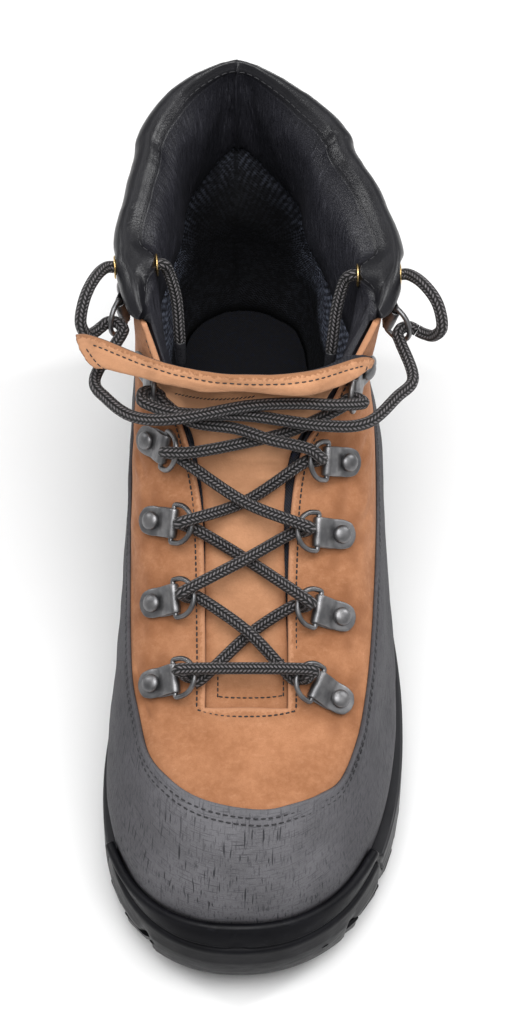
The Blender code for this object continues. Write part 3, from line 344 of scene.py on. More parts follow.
def row_level(row, column):
    """Level of an upper mesh row: feather, border, throat bottom, cuff line."""
    row, column = np.broadcast_arrays(np.asarray(row, float), column)
    border = border_level(column)
    fade = 1.0 - np.minimum(side_share(column) / 0.4, 1.0)
    throat = np.maximum(THROAT_LEVEL - sag(np.abs(column) / THROAT_COLUMNS) * fade, border + 0.03)
    low = border * row / BORDER_ROWS
    middle = border + (throat - border) * (row - BORDER_ROWS) / VAMP_ROWS
    high = throat + (cuff_level(column) - throat) * (row - THROAT_ROW) / SHAFT_ROWS
    return np.where(row <= BORDER_ROWS, low, np.where(row <= THROAT_ROW, middle, high))


def grid_at(rows, columns):
    """Level and arc of every row and column of the upper's mesh."""
    level = row_level(rows[:, None], columns[None, :])
    return level, column_arc(level, np.broadcast_to(columns[None, :], level.shape))


# ---------------------------------------------------------------- mesh helpers
def add(name, data, where=(0.0, 0.0, 0.0), turn=(0.0, 0.0, 0.0)):
    body = bpy.data.objects.new(name, data)
    bpy.context.scene.collection.objects.link(body)
    body.location, body.rotation_euler = where, turn
    return body


def rework(mesh, change):
    work = bmesh.new()
    work.from_mesh(mesh)
    change(work)
    work.to_mesh(mesh)
    work.free()


def make(name, points, faces, stuff, uv=None, values=None, slots=None, ends=""):
    """Mesh object with faces turned outward, from point grids in millimetres.

    Point UVs and values follow the points; ends says how open loops are closed: filled, or bridged
    in pairs on each side of x = 0.
    """
    mesh = bpy.data.meshes.new(name)
    mesh.from_pydata((np.asarray(points, float).reshape(-1, 3) * MM).tolist(), [], faces)

    def close(work):
        rims = [edge for edge in work.edges if edge.is_boundary]
        if ends == "fill":
            bmesh.ops.holes_fill(work, edges=rims, sides=0)
        for side in SIDES if ends == "bridge" else ():
            bmesh.ops.bridge_loops(work, edges=[edge for edge in rims if edge.verts[0].co.x * side > 0.0])
        bmesh.ops.recalc_face_normals(work, faces=work.faces)

    rework(mesh, close)
    if uv is not None:
        index = np.zeros(len(mesh.loops), int)
        mesh.loops.foreach_get("vertex_index", index)
        mesh.uv_layers.new(name="uv").data.foreach_set("uv", (np.reshape(uv, (-1, 2))[index] / UV_UNIT).ravel())
    for key, data in (values or {}).items():
        mesh.attributes.new(key, "FLOAT", "POINT").data.foreach_set("value", np.asarray(data, float).ravel())
    if slots is not None:
        mesh.polygons.foreach_set("material_index", slots)
    mesh.polygons.foreach_set("use_smooth", [True] * len(mesh.polygons))
    mesh.update()
    for item in stuff if isinstance(stuff, list) else [stuff]:
        mesh.materials.append(item)
    return add(name, mesh)


def strip(a, b, count, wrap=True):
    """Faces between two rings of points that start at numbers a and b."""
    return [(a + c, a + (c + 1) % count, b + (c + 1) % count, b + c) for c in range(count if wrap else count - 1)]


def grid_faces(rows, columns, wrap=False, keep=None):
    faces = []
    for r in range(rows - 1):
        row = strip(r * columns, (r + 1) * columns, columns, wrap)
        faces += row if keep is None else [face for face, kept in zip(row, keep[r]) if kept]
    return faces


def caps(rows, columns):
    """End faces of a tube of rings."""
    return [tuple(range(columns - 1, -1, -1)), tuple((rows - 1) * columns + k for k in range(columns))]


def make_shell(name, outer, inner, stuff, uv, values=None, wrap=True, keep=None):
    """Closed wall between two grids of points; a second material goes on the inner one."""
    out = grid_faces(*outer.shape[:2], wrap, keep)
    count = outer.shape[0] * outer.shape[1]
    edges = dict.fromkeys(pair for face in out for pair in zip(face, face[1:] + face[:1]))
    rims = [(b, a, a + count, b + count) for a, b in edges if (b, a) not in edges]
    back = [tuple(v + count for v in face[::-1]) for face in out]
    slots = [0] * len(out) + [int(isinstance(stuff, list))] * len(back) + [0] * len(rims)
    twice = {key: np.concatenate([data, data]) for key, data in (values or {}).items()}
    return make(name, np.concatenate([outer, inner]), out + back + rims, stuff, np.concatenate([uv, uv]), twice, slots)


def run_length(points, axis):
    """Distance along an axis of a grid of points, from its start."""
    step = np.linalg.norm(np.diff(points, axis=axis), axis=2)
    return np.concatenate([np.zeros_like(np.take(step, [0], axis=axis)), np.cumsum(step, axis=axis)], axis=axis)


def facing_of(grid):
    """Directions square to a grid of points."""
    n = np.cross(np.gradient(grid, axis=0), np.gradient(grid, axis=1))
    return n / np.maximum(np.linalg.norm(n, axis=2, keepdims=True), 1e-9)


def tube(name, path, radius, stuff, sides=18, closed=False):
    """Round tube along a path; UV runs round it (0 to 8) and along it in millimetres."""
    ahead = np.roll(path, -1, 0) - np.roll(path, 1, 0)
    if not closed:
        ahead[0], ahead[-1] = path[1] - path[0], path[-1] - path[-2]
    ahead = unit(ahead)
    side = np.cross(ahead[0], (0.0, 0.0, 1.0))
    if np.linalg.norm(side) < 0.2:
        side = np.cross(ahead[0], (0.0, 1.0, 0.0))
    u = []
    for d in ahead:
        side = unit(side - d * np.dot(side, d))
        u.append(side)
    u = np.array(u)
    angle = np.linspace(0.0, CIRCLE, sides + 1)[None, :, None]
    radius = np.broadcast_to(radius, (len(path),))[:, None, None]
    points = path[:, None] + radius * (np.cos(angle) * u[:, None] + np.sin(angle) * np.cross(ahead, u)[:, None])
    uv = np.stack(np.broadcast_arrays(angle[..., 0] / CIRCLE * 8.0, arc_of(path)[:, None]), 2)
    n, m = len(path), sides + 1
    faces = [face[::-1] for face in grid_faces(n, m)]
    if closed:
        faces += [(c + 1, c, (n - 1) * m + c, (n - 1) * m + c + 1) for c in range(sides)]
    else:
        faces += [tuple(range(sides)), tuple((n - 1) * m + k for k in range(sides - 1, -1, -1))]
    body = make(name, points, faces, stuff, uv)
    rework(body.data, lambda work: bmesh.ops.remove_doubles(work, verts=work.verts, dist=0.01 * MM))
    return body


def place(body, slot_name, *nodes):
    """Ride on the boot and stand for its CAD nodes; the slot name is not used."""
    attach(body, "root")
    if nodes:
        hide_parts(*nodes)
    return body


# ---------------------------------------------------------------- metal rings
# Side, pair, level and arc of the rivet, turn in plan, lift of the ring, stand of the clip.
RING_PLACES = (
    (MEDIAL, 1, 0.491, 39.5, 5.0, 8.0, 0.30), (LATERAL, 1, 0.487, 37.0, 24.0, 12.0, 0.30),
    (MEDIAL, 2, 0.584, 37.8, 6.0, 8.0, 0.30), (LATERAL, 2, 0.578, 36.5, 12.0, 12.0, 0.30),
    (MEDIAL, 3, 0.671, 37.8, -8.0, 8.0, 0.45), (LATERAL, 3, 0.666, 35.6, 4.0, 12.0, 0.45),
    (MEDIAL, 4, 0.752, 41.0, -18.0, 16.0, 1.10), (LATERAL, 4, 0.738, 38.6, 4.0, 14.0, 1.10),
    (MEDIAL, 5, 0.855, 47.0, -28.0, 24.0, 0.70), (LATERAL, 5, 0.862, 48.0, -26.0, 24.0, 0.70),
    (MEDIAL, 6, 0.903, 72.0, -68.0, 26.0, 0.50), (LATERAL, 6, 0.903, 74.0, -68.0, 42.0, 0.25))
BAR_X, BAR_Z = 9.2, 2.45
WIRE, RING_HALF, RING_LEG = 0.95, 6.85, 2.4
CLIP_THICK, CLIP_BARREL, CLIP_HALF = 0.8, 1.67, 5.3
# Clip strip from under the rivet to the bar, and back over it: along, height, half width.
CLIP_LOW = ((-2.4, 0.74, 3.2), (1.5, 0.74, CLIP_HALF), (9.2, 0.78, CLIP_HALF))
CLIP_HIGH = ((5.6, 2.95, CLIP_HALF), (2.6, 1.72, CLIP_HALF), (-1.2, 1.66, CLIP_HALF), (-4.2, 1.66, 4.4),
             (-5.6, 1.66, 2.6), (-6.1, 1.66, 1.2))
RIVET_X, RIVET_R = -0.6, 3.35


def spin(degrees, a, b):
    """Direction at an angle from a towards b."""
    return math.cos(math.radians(degrees)) * a + math.sin(math.radians(degrees)) * b


def ring_frame(ring):
    """Rivet point, direction to the throat, direction up the throat, outward."""
    side, _, level, arc, turn, _, stand = ring
    n = normal(level, side * arc)
    plan = np.array([-side * math.cos(math.radians(turn)), math.sin(math.radians(turn)), 0.0])
    along = unit(plan - n * np.dot(n, plan))
    return skin(level, side * arc, stand - SEAT), along, np.cross(n, along) * -side, n


def ring_plane(ring):
    """Bar centre, direction of the D, direction up the throat, normal of the D."""
    p, along, up, n = ring_frame(ring)
    return p + along * BAR_X + n * BAR_Z, spin(ring[5], along, n), up, spin(ring[5], n, -along)


def build_clip(ring, name, stuff):
    """Bent strip that folds round the ring's bar, with rounded edges."""
    p, along, up, n = ring_frame(ring)
    barrel = [(*spin(angle, np.array([CLIP_BARREL, 0.0]), np.array([0.0, CLIP_BARREL]))
               + np.array([BAR_X, BAR_Z]), CLIP_HALF) for angle in (-60.0, -25.0, 10.0, 45.0, 80.0, 112.0)]
    path = spline([*CLIP_LOW, *barrel, *CLIP_HIGH], 64)
    ahead = unit(np.gradient(path[:, :2], axis=0))
    sides = 20
    c, s = np.cos(np.arange(sides) * CIRCLE / sides), np.sin(np.arange(sides) * CIRCLE / sides)
    across = np.copysign(np.abs(c) ** 0.35, c)[None, :] * path[:, 2:]
    thick = np.copysign(np.abs(s) ** 0.6, s)[None, :] * CLIP_THICK / 2.0
    x, z = path[:, :1] - ahead[:, 1:] * thick, path[:, 1:2] + ahead[:, :1] * thick
    points = p + along * x[..., None] + n * z[..., None] + up * across[..., None]
    return make(name, points, grid_faces(len(path), sides, True) + caps(len(path), sides), stuff)


def build_ring(ring, name, stuff):
    bar, d, up, _ = ring_plane(ring)
    plan = [(0.0, w) for w in np.linspace(RING_HALF - 0.9, -RING_HALF + 0.9, 9)]
    plan += [(0.25, -RING_HALF + 0.2), (0.9, -RING_HALF)]
    plan += [(RING_LEG + spin(a, RING_HALF, 0.0), spin(a, 0.0, RING_HALF)) for a in range(-84, 85, 12)]
    plan += [(0.9, RING_HALF), (0.25, RING_HALF - 0.2)]
    return tube(name, spline([bar + d * u + up * w for u, w in plan], 96, closed=True), WIRE, stuff, 16, True)


def lathe(name, origin, axis, outline, stuff, sides=32, hollow=False):
    """Turned solid: outline rows are distance along the axis and radius."""
    a = np.cross(axis, (0.0, 0.0, 1.0))
    a = unit(a if np.linalg.norm(a) >= 0.1 else np.cross(axis, (0.0, 1.0, 0.0)))
    t = np.linspace(0.0, CIRCLE, sides, endpoint=False)[:, None]
    turn = np.cos(t) * a + np.sin(t) * np.cross(axis, a)
    rows = len(outline)
    ends = strip((rows - 1) * sides, 0, sides) if hollow else caps(rows, sides)
    return make(name, [origin + axis * s + r * turn for s, r in outline], grid_faces(rows, sides, True) + ends, stuff)


def build_rivet(ring, name, stuff):
    p, along, _, n = ring_frame(ring)
    base = CLIP_HIGH[-1][1] + CLIP_THICK / 2.0 + SEAT + 0.15
    outline = [(base - 0.5, RIVET_R - 0.1), (base, RIVET_R), (base + 0.35, RIVET_R)]
    outline += [(base + 0.35 + spin(a, 0.0, 1.5), spin(a, RIVET_R, 0.0)) for a in (12, 25, 38, 50, 62, 73, 82, 88)]
    return lathe(name, p + along * RIVET_X, n, outline, stuff)


# ---------------------------------------------------------------- lace
LACE = 2.15
LACE_TURN = WIRE + LACE + 0.85
STACK = 2.0 * LACE + 0.85
# Crossings over the throat: level, arc, height of the lower run.
CROSSINGS = {1: (0.590, 0.9, 2.4), 2: (0.668, -0.4, 2.4), 3: (0.732, -0.9, 2.6)}
# Points of the runs in front of the tongue, of the rises to the top rings, and of the free ends
# before and behind their eyelets: x, y, z.
RUNS = {
    1: ((-15.0, -119.8, 139.2), (4.0, -115.8, 139.8), (20.0, -111.8, 141.4)),
    2: ((25.0, -119.6, 141.2), (12.0, -118.2, 144.4), (0.0, -114.0, 145.2), (-16.0, -110.8, 145.2)),
    3: ((-32.4, -106.9, 151.0), (-20.0, -111.0, 150.4), (4.0, -111.9, 150.2), (30.0, -115.0, 148.5),
        (46.0, -113.2, 147.6)),
    4: ((34.0, -110.2, 154.2), (22.0, -110.6, 155.6), (4.0, -111.4, 155.2), (-21.0, -115.8, 153.6),
        (-36.0, -112.5, 150.2))}
RISE = {MEDIAL: ((-46.0, -104.0, 149.5), (-50.5, -95.0, 150.0)),
        LATERAL: ((57.0, -102.0, 148.0), (63.0, -93.5, 148.0))}
LOOP = {MEDIAL: ((-53.8, -78.6, 154.2), (-55.8, -77.4, 160.0), (-54.2, -70.5, 165.2), (-51.0, -62.5, 166.2)),
        LATERAL: ((71.0, -77.6, 152.4), (73.4, -78.2, 158.4), (71.6, -72.6, 164.6), (67.0, -65.5, 166.4))}
LOOP_END = {MEDIAL: ((-24.5, -55.5, 160.5), (-22.0, -61.0, 153.0), (-21.0, -69.0, 143.0), (-20.5, -74.0, 130.0)),
            LATERAL: ((38.5, -60.0, 160.5), (36.0, -66.0, 153.0), (34.5, -74.0, 143.0), (33.0, -79.0, 130.0))}
EYELETS = {MEDIAL: (0.974, 73.0), LATERAL: (0.974, 75.0)}
EYELET_BORE, EYELET_BARREL, EYELET_RIM = 2.5, 2.95, 4.2
EYELET_DEPTH = 10.6


def thread(side, pair, under=True, shift=1.4):
    """Lace points round the D's front wire, from below to above or the other way."""
    bar, d, up, m = ring_plane(next(ring for ring in RING_PLACES if ring[:2] == (side, pair)))
    wire = bar + d * (RING_LEG + RING_HALF)
    points = [wire + LACE_TURN * spin(angle, d, m) + up * shift * (k - 2) / 2.0
              for k, angle in enumerate((-90.0, -135.0, 180.0, 135.0, 90.0))]
    return points if under else points[::-1]


def half_lace(side, high):
    """Lace from the front ring of one side to its top ring, over or under the other half."""
    path = thread(side, 1, False)
    for pair, (level, arc, height) in CROSSINGS.items():
        side = -side
        path += [skin(level, arc, height + (STACK if high else 0.0))] + thread(side, pair + 1)
    path += [np.array(p) for p in RUNS[1 if high else 2]] + thread(-side, 5)
    path += [np.array(p) for p in RUNS[4 if high else 3] + RISE[side]]
    return path + thread(side, 6, True, 0.6)


def lace_path():
    """Whole laced run, from the outer top ring to the inner top ring."""
    return half_lace(MEDIAL, False)[::-1] + half_lace(LATERAL, True)


def eyelet_axis(side):
    """Outside mouth, inside mouth and direction inwards."""
    level, arc = EYELETS[side]
    out, n = skin(level, side * arc), unit(normal(level, side * arc) * FLAT)
    depth = abs(np.dot(out - inside(level, share_of(level, side * arc), EYELET_DEPTH), n))
    return out + n * 3.3, out - n * (depth + 1.9), -n


def from_axis(points, side):
    """Depth of points along an eyelet's axis, their distance from it and its length."""
    start, end, axis = eyelet_axis(side)
    depth = (points - start) @ axis
    away = np.linalg.norm(points - start - depth[..., None] * axis, axis=-1)
    return depth, away, float(np.linalg.norm(end - start))


def build_eyelet(side, name, stuff):
    start, end, axis = eyelet_axis(side)
    middle, half = (EYELET_BORE + EYELET_RIM) / 2.0, (EYELET_RIM - EYELET_BORE) / 2.0
    lip = [(0.6, EYELET_BARREL), (0.6, EYELET_RIM)]
    lip += [(0.30 - spin(a, 0.38, 0.0), middle - spin(a, 0.0, half)) for a in range(-90, 91, 20)]
    lip += [(0.8, EYELET_BORE)]
    length = float(np.linalg.norm(end - start))
    return lathe(name, start, axis, lip + [(length - s, r) for s, r in lip[::-1]], stuff, 40, True)


def build_loops(braid, tip_stuff):
    """The two free ends: from the top ring through the collar eyelet, with a tip inside the boot."""
    laced = lace_path()
    for side, last, before in ((MEDIAL, laced[-1], laced[-2]), (LATERAL, laced[0], laced[1])):
        start, end, axis = eyelet_axis(side)
        step = unit(last - before)
        path = spline([last + step * SEAT, last + step * (SEAT + 3.0), *LOOP[side], start - axis * 3.0,
                       start + axis * 2.0, end - axis * 2.0, end + axis * 2.0, *LOOP_END[side]], 150)
        tip_from = len(path) - 17
        core = np.interp(np.arange(len(path)), (0, tip_from, tip_from + 2, len(path)), (1.0, 1.0, 0.55, 0.5))
        taper = np.interp(np.arange(17), (0, 2, 13, 16), (1.03, 1.0, 0.86, 0.62)) * 0.98
        loop = tube("loop_" + SIDE_WORD[side], path, LACE * core, braid)
        tip = tube("lace_tip_" + SIDE_WORD[side], path[tip_from:], LACE * taper, tip_stuff)
        place(tip, "black_braid")
        place(loop, "black_braid", "lace_loop_" + SIDE_WORD[side])
        length = float(arc_of(path)[-1]) * MM


# ---------------------------------------------------------------- upper
def all_columns(step):
    """Signed columns round the boot, inner side first; close together at the throat's edge."""
    edge = [THROAT_COLUMNS + s for s in (-0.06, 0.0, 0.012, 0.035, 0.08, 0.15, 0.25, 0.38)]
    one = np.concatenate([np.linspace(0.0, THROAT_COLUMNS - 0.3, 8), edge,
                          np.linspace(THROAT_COLUMNS + 0.52, BACK_COLUMN, int(17.5 / step))])
    return np.concatenate([-one[-2:0:-1], one])


def outside_throat(rows, columns, row, margin):
    """Which cells of a mesh are left when the throat above a row is cut away."""
    far = np.maximum(np.abs(columns), np.abs(np.roll(columns, -1)))
    return ((rows[:-1] + rows[1:])[:, None] / 2.0 <= row) | (far[None, :] > THROAT_COLUMNS + margin)


def throat_distance(level, arc):
    """Distance in millimetres from the throat's edge, on the leather."""
    edge = throat_arc(level, arc)
    across = np.abs(arc) - edge
    below = (THROAT_LEVEL - sag(np.abs(arc) / edge) - level) * VAMP_RISE
    return np.hypot(np.maximum(across, 0.0), np.maximum(below, 0.0))


def round_drop(distance, radius):
    """How far a rounded edge falls below the flat face at a distance from it."""
    return radius - np.sqrt(radius ** 2 - np.clip(radius - distance, 0.0, radius) ** 2)


def ring_creases(points):
    """Puckers round the rings, and painted shade there: relief in mm and a darker tone."""
    relief, tone = np.zeros(points.shape[:-1]), np.zeros(points.shape[:-1])
    for ring in RING_PLACES[:8]:
        p, along, up, _ = ring_frame(ring)
        d = points - (p - along * 1.5)
        a, b = d @ along, d @ up
        r, angle = np.hypot(a, b), np.arctan2(b, a)
        near = gauss(np.maximum(r - 6.5, 0.0), 6.0)
        folds = np.sin(angle * 7.0 + 1.3 * ring[1] + 0.5 * ring[0]) * gauss(r - 11.0, 4.5)
        relief += 0.16 * folds * (1.0 - gauss(angle, 0.7)) - 0.38 * near
        # painted shade: darker close round each ring and in the folds about it
        tone += 0.8 * near + 0.25 * folds * gauss(r - 11.0, 6.0)
    return relief, tone


# Ankle creases: level, first share, last share, depth, half width in millimetres.
CREASES = ((0.700, 0.20, 0.38, 0.75, 2.6), (0.655, 0.24, 0.44, 0.60, 2.3), (0.745, 0.22, 0.36, 0.60, 2.4),
           (0.610, 0.22, 0.40, 0.45, 2.2), (0.560, 0.26, 0.36, 0.30, 2.4), (0.795, 0.20, 0.31, 0.55, 2.2))
# Vamp creases: level, first share, depth, half width in millimetres.
VAMP_CREASES = ((0.455, 0.10, 0.34, 1.8), (0.480, 0.08, 0.30, 1.6), (0.430, 0.16, 0.22, 1.8))


def flex_creases(level, share):
    """Soft folds across the ankle, stronger on the inner side."""
    relief = np.zeros(level.shape)
    for centre, low, high, depth, width in CREASES:
        for side, gain, shift in ((MEDIAL, 1.0, 0.0), (LATERAL, 0.8, 0.012)):
            u = rise(share * side, low, high - low)
            line = centre + shift - 0.05 * (u - 0.2) + 0.006 * np.sin(9.0 * u + 40.0 * centre)
            d = (level - line) * 245.0
            relief += gain * hump(u) ** 0.8 * depth * (0.55 * gauss(d - 1.9 * width, 1.5 * width) - gauss(d, width)
                                                       + 0.40 * gauss(d + 1.9 * width, 1.5 * width))
    return relief


def vamp_creases(level, share):
    """Faint flex lines that run from the throat's corners down to the sole's widest place."""
    relief = np.zeros(level.shape)
    for centre, start, depth, width in VAMP_CREASES:
        u = rise(np.abs(share), start, 0.16)
        relief -= depth * hump(u) * gauss((level - centre + 0.05 * u + 0.004 * np.sin(30.0 * share)) * VAMP_RISE, width)
    return relief


def build_upper(stuff):
    columns = all_columns(0.128)
    rows = np.concatenate([
        np.linspace(0.0, 3.0, 5), np.linspace(3.4, 4.0, 3), np.linspace(4.1, 6.7, 23),
        [6.82, 6.90, 6.95, 6.985, 7.0], np.linspace(7.03, TOP_ROW, 76)])
    level, arc = grid_at(rows, columns)
    share = share_of(level, arc)
    base, n = skin(level, arc), normal(level, arc)
    edge = throat_distance(level, arc)
    # the tone is painted shade round the rings and in their folds
    relief, tone = ring_creases(base)
    relief += flex_creases(level, share) + vamp_creases(level, share)
    relief += 0.22 * ripple(base, 34.0, 3) + 0.05 * ripple(base, 9.0, 5)
    relief += 0.12 * gauss(edge - 1.4, 1.2) - 0.22 * gauss(edge - 3.1, 0.9)
    relief = np.minimum(relief * rise(level, border_level(columns)[None], 0.03), 0.45) - round_drop(edge, 0.9)
    inner = base - n * (WALL - 0.7 - 0.5 * (1.0 - rise(edge, 0.0, 0.9)))[..., None]
    return make_shell("nubuck_upper", base + n * relief[..., None], inner, stuff,
                      np.stack([arc, level * VAMP_RISE], 2), {"edge": edge, "tone": tone},
                      keep=outside_throat(rows, columns, THROAT_ROW, 1e-6))


# Lower edge of the collar's inner facing: share of the side, level.
ARCH = ((0.0, 0.80), (0.40, 0.77), (0.50, 0.74), (0.61, 0.70), (0.75, 0.65), (0.85, 0.585), (0.905, 0.55),
        (0.935, 0.60), (0.97, 0.70), (1.0, 0.745))


def column_share(columns):
    """Share of the side's length at the cuff line."""
    low = cuff_level(columns)
    return np.abs(share_of(low, column_arc(low, columns)))


def arch_level(columns):
    return smooth(ARCH, column_share(columns))


def build_lining(stuff):
    """Knitted lining from the footbed up to the collar's facing; its dark value is painted shade at the heel, over the
    floor and deeper down below the arch.
    """
    columns = all_columns(0.22)
    rows = np.concatenate([np.linspace(0.0, 6.6, 28), [6.8, 6.9, 7.0], np.linspace(7.2, TOP_ROW, 40)])
    throat, arch = row_level(THROAT_ROW, columns), arch_level(columns)
    high = throat + np.maximum(arch + 0.03 - throat, 0.004) * rise(rows, THROAT_ROW, SHAFT_ROWS)[:, None]
    level = np.where(rows[:, None] > THROAT_ROW, high, row_level(rows[:, None], columns[None, :]))
    arc = column_arc(level, np.broadcast_to(columns[None, :], level.shape))
    base, n = skin(level, arc), normal(level, arc)
    share = column_share(columns)[None, :]
    below = (arch - level) * SHAFT_RISE
    cup = 9.0 * ease(rise(below, 0.0, 75.0)) * rise(share, 0.36, 0.24)
    puff = np.clip(0.5 * ripple(base, 30.0, 11), -0.6, 1.0)
    # painted shade: darker at the heel, over the floor and deep below the arch line
    heel = rise(share, 0.84, 0.10) * (0.72 + 0.28 * rise(below, 12.0, 30.0))
    floor = 0.9 * rise(share, 0.66, 0.12) * rise(below, 50.0, 40.0)
    dark = np.maximum(heel, np.maximum(floor, 0.6 * rise(below, 80.0, 40.0)))
    return make_shell("lining", base - n * (WALL + 0.15), base - n * (WALL + 1.3 + cup + puff)[..., None], stuff,
                      np.stack([arc, level * SHAFT_RISE], 2), {"dark": dark},
                      keep=outside_throat(rows, columns, 6.95, 0.3))


RAND_THICK = 1.7


def rand_thick(columns):
    """The rand is thick over the toe and thinner along the quarters."""
    return RAND_THICK - 0.9 * rise(side_share(columns), 0.16, 0.2)


def build_rand(stuff):
    """Grey leather rand and toe cap, with a rounded top edge."""
    columns = all_columns(0.128)
    ticks = np.concatenate([[0.0, 0.25, 0.6, 1.0, 1.6, 2.3], np.linspace(3.2, 15.0, 10)])
    near = 1.0 - ticks / VAMP_RISE / 0.36
    rows = np.concatenate([np.linspace(0.0, near[-1], 34)[:-1], near[::-1]]) * BORDER_ROWS
    level, arc = grid_at(rows, columns)
    edge = (border_level(columns)[None, :] - level) * VAMP_RISE * 0.9
    base, n = skin(level, arc), normal(level, arc)
    relief = 0.20 * ripple(base, 26.0, 21) + 0.30 * flex_creases(level, share_of(level, arc))
    relief += 0.10 * gauss(edge - 2.0, 1.6) - 0.16 * (gauss(edge - 4.0, 0.5) + gauss(edge - 7.0, 0.5))
    relief = np.clip(relief, -0.5, 0.4) * rise(level, 0.0, 0.05)
    thick = rand_thick(columns)[None, :]
    outer = base + n * (SEAT + thick + relief - round_drop(edge, 1.1) * thick / RAND_THICK)[..., None]
    inner = base + n * (SEAT - 0.1)
    outer[0, :, 2] = inner[0, :, 2] = base[0, :, 2]
    uv = np.stack([arc, level * VAMP_RISE], 2)
    return make_shell("toe_rand", outer, inner, stuff, uv, {"edge": edge, "low": uv[..., 1]})


# ---------------------------------------------------------------- padded collar
# Corners of the roll, from the outer seam over the top to the inner seam: share of its height,
# outside offset, inset of an inside corner, extra height.
ROLL = ((0.10, 2.0, None, 0.0), (0.50, 2.6, None, 0.0), (0.88, 1.8, None, 0.8),
        (1.00, -1.2, None, 3.0), (1.00, None, 4.4, 3.0), (0.95, None, 6.6, 0.9))
# Inner side of the roll: share of its height, inset, share of the ankle padding.
ROLL_BACK = ((0.80, 8.4, 0.15), (0.52, 10.2, 0.45), (0.20, 11.0, 0.8))
# Inner facing below the roll: share of the way down to the arch line, inset.
FACING = ((0.04, 11.0), (0.12, 10.6), (0.28, 9.8), (0.50, 8.4), (0.72, 6.9), (0.90, 5.5), (0.985, 4.9), (1.0, 4.4))
ROLL_STEPS, FACING_STEPS = 30, 52
# How far the padded roll stands out past the last, by share of the side.
FLARE_IN = ((0.36, 0.0), (0.50, 1.8), (0.60, 3.2), (0.70, 3.9), (0.80, 3.9), (0.88, 3.2), (0.94, 1.6), (1.0, 0.3))
FLARE_OUT = ((0.28, 0.0), (0.38, 2.2), (0.48, 4.2), (0.58, 5.6), (0.68, 5.2), (0.78, 2.4), (0.87, 0.8),
             (0.94, 0.2), (1.0, 0.0))
# Wrinkles across the roll: signed column, width in columns, depth, lean.
CUFF_FOLDS = (
    (-19.8, 0.20, 0.27, 0.2), (-18.3, 0.16, 0.18, -0.3), (-16.4, 0.22, 0.24, 0.5), (-14.2, 0.18, 0.18, -0.4),
    (-12.1, 0.22, 0.24, 0.4), (-9.8, 0.18, 0.18, -0.3), (19.6, 0.20, 0.24, -0.2), (18.0, 0.18, 0.18, 0.3),
    (16.1, 0.22, 0.24, -0.5), (14.0, 0.18, 0.18, 0.4), (11.9, 0.20, 0.21, -0.4), (9.9, 0.18, 0.18, 0.3))


def inner_corner(columns, level, inset):
    """Point on the last drawn in by an inset, straight in from a column."""
    side, edge = side_of(columns), throat_arc(level, columns)
    low, t = between_insets(np.broadcast_to(np.asarray(inset, float), columns.shape))
    halves = np.stack([half_length(level, side, k) for k in range(len(INSETS))])
    take = np.arange(len(columns))
    half = halves[low, take] * (1.0 - t) + halves[low + 1, take] * t
    return inside(level, side * (edge + (half - edge) * spread(columns)) / half, inset)


def cuff_sections(columns):
    """Corners of the roll and of the facing at each column."""
    low, high = cuff_level(columns), smooth(CUFF_TOP, side_share(columns))
    share, arch = column_share(columns), arch_level(columns)
    pad = 6.5 * gauss(share - 0.80, 0.13) + 2.0 * gauss(share - 0.55, 0.2) - 1.5 * gauss(share - 1.0, 0.03)
    out = unit(normal(low + 0.06, column_arc(low, columns)) * FLAT)
    out = out * np.where(columns < 0, smooth(FLARE_IN, share), smooth(FLARE_OUT, share))[:, None]
    slim = 1.0 - 0.42 * rise(share, 0.80, 0.15)

    def outer(level, offset):
        return skin(level, column_arc(level, columns), np.full(len(columns), offset))

    roll = [skin(low + 0.0026, column_arc(low, columns))]
    for part, offset, inset, lift in ROLL:
        level = low + (high - low) * part
        p = outer(level, offset) if inset is None else inner_corner(columns, level, inset * slim)
        up = lift + 1.3 * part * gauss(share - 1.0, 0.07)
        roll.append(p + np.array([0.0, 0.0, 1.0]) * up[:, None] + out * min(1.0, 0.2 + 1.1 * part))
    facing = [roll[-1]]
    for part, inset, padded in ROLL_BACK:
        corner = inner_corner(columns, low + (high - low) * part, inset * slim + padded * pad)
        facing.append(corner + out * (0.5 + 0.5 * part))
    start = low - 0.012
    for part, inset in FACING:
        inset = inset * (slim + (1.0 - slim) * part) + pad * math.cos(part * math.pi / 2.0) ** 0.8
        facing.append(inner_corner(columns, start + (arch - start) * part, inset) + out * 0.45 * (1.0 - part) ** 2)
    for level, offset in ((arch + 0.001, 0.6), (arch + 0.012, 0.35), (low - 0.02, 0.35), (low, 0.35)):
        facing.append(outer(level, -WALL - offset))
    return np.stack(roll, 1), np.stack(facing, 1)


def collar_relief(sections, columns, number, down):
    """Wrinkles, seam groove and the folded V at the back, in millimetres."""
    steps = sections.shape[1]
    column = columns[:, None]
    from_back = BACK_COLUMN - np.abs(column)
    face = rise(number, 0.0, 5.0) * (1.0 - rise(number, steps - 22, 8.0))
    face = face * np.clip((np.abs(column) - THROAT_COLUMNS - 0.4) / 3.0, 0.1, 1.0)
    relief = (0.08 * ripple(sections, 30.0, 31) + 0.03 * ripple(sections, 9.0, 33)) * face
    reach = gauss(number - 0.75 * ROLL_STEPS, 9.0) + 0.9 * gauss(number - ROLL_STEPS - 9.0, 8.0)
    for at, width, depth, lean in CUFF_FOLDS:
        relief -= 0.6 * depth * reach * gauss(column - at - lean * (number - ROLL_STEPS) / 30.0, width)
    relief -= 0.50 * gauss(number - ROLL_STEPS + 1.0, 1.1)
    relief += 0.45 * gauss(number - ROLL_STEPS - 4.0, 2.4) + 0.35 * gauss(number - ROLL_STEPS + 6.0, 3.0)
    relief -= 3.4 * gauss(from_back, 0.16) * rise(number, ROLL_STEPS - 5, 8.0) * (1.0 - rise(number, 54, 14.0))
    relief += 1.6 * gauss(from_back - 0.9, 0.55) * hump(down * 1.1)
    for at in (0.32, 0.62, 0.95):
        relief -= 0.35 * gauss(from_back - at * (0.4 + 1.2 * down), 0.09) * hump(down * 1.3)
    return relief


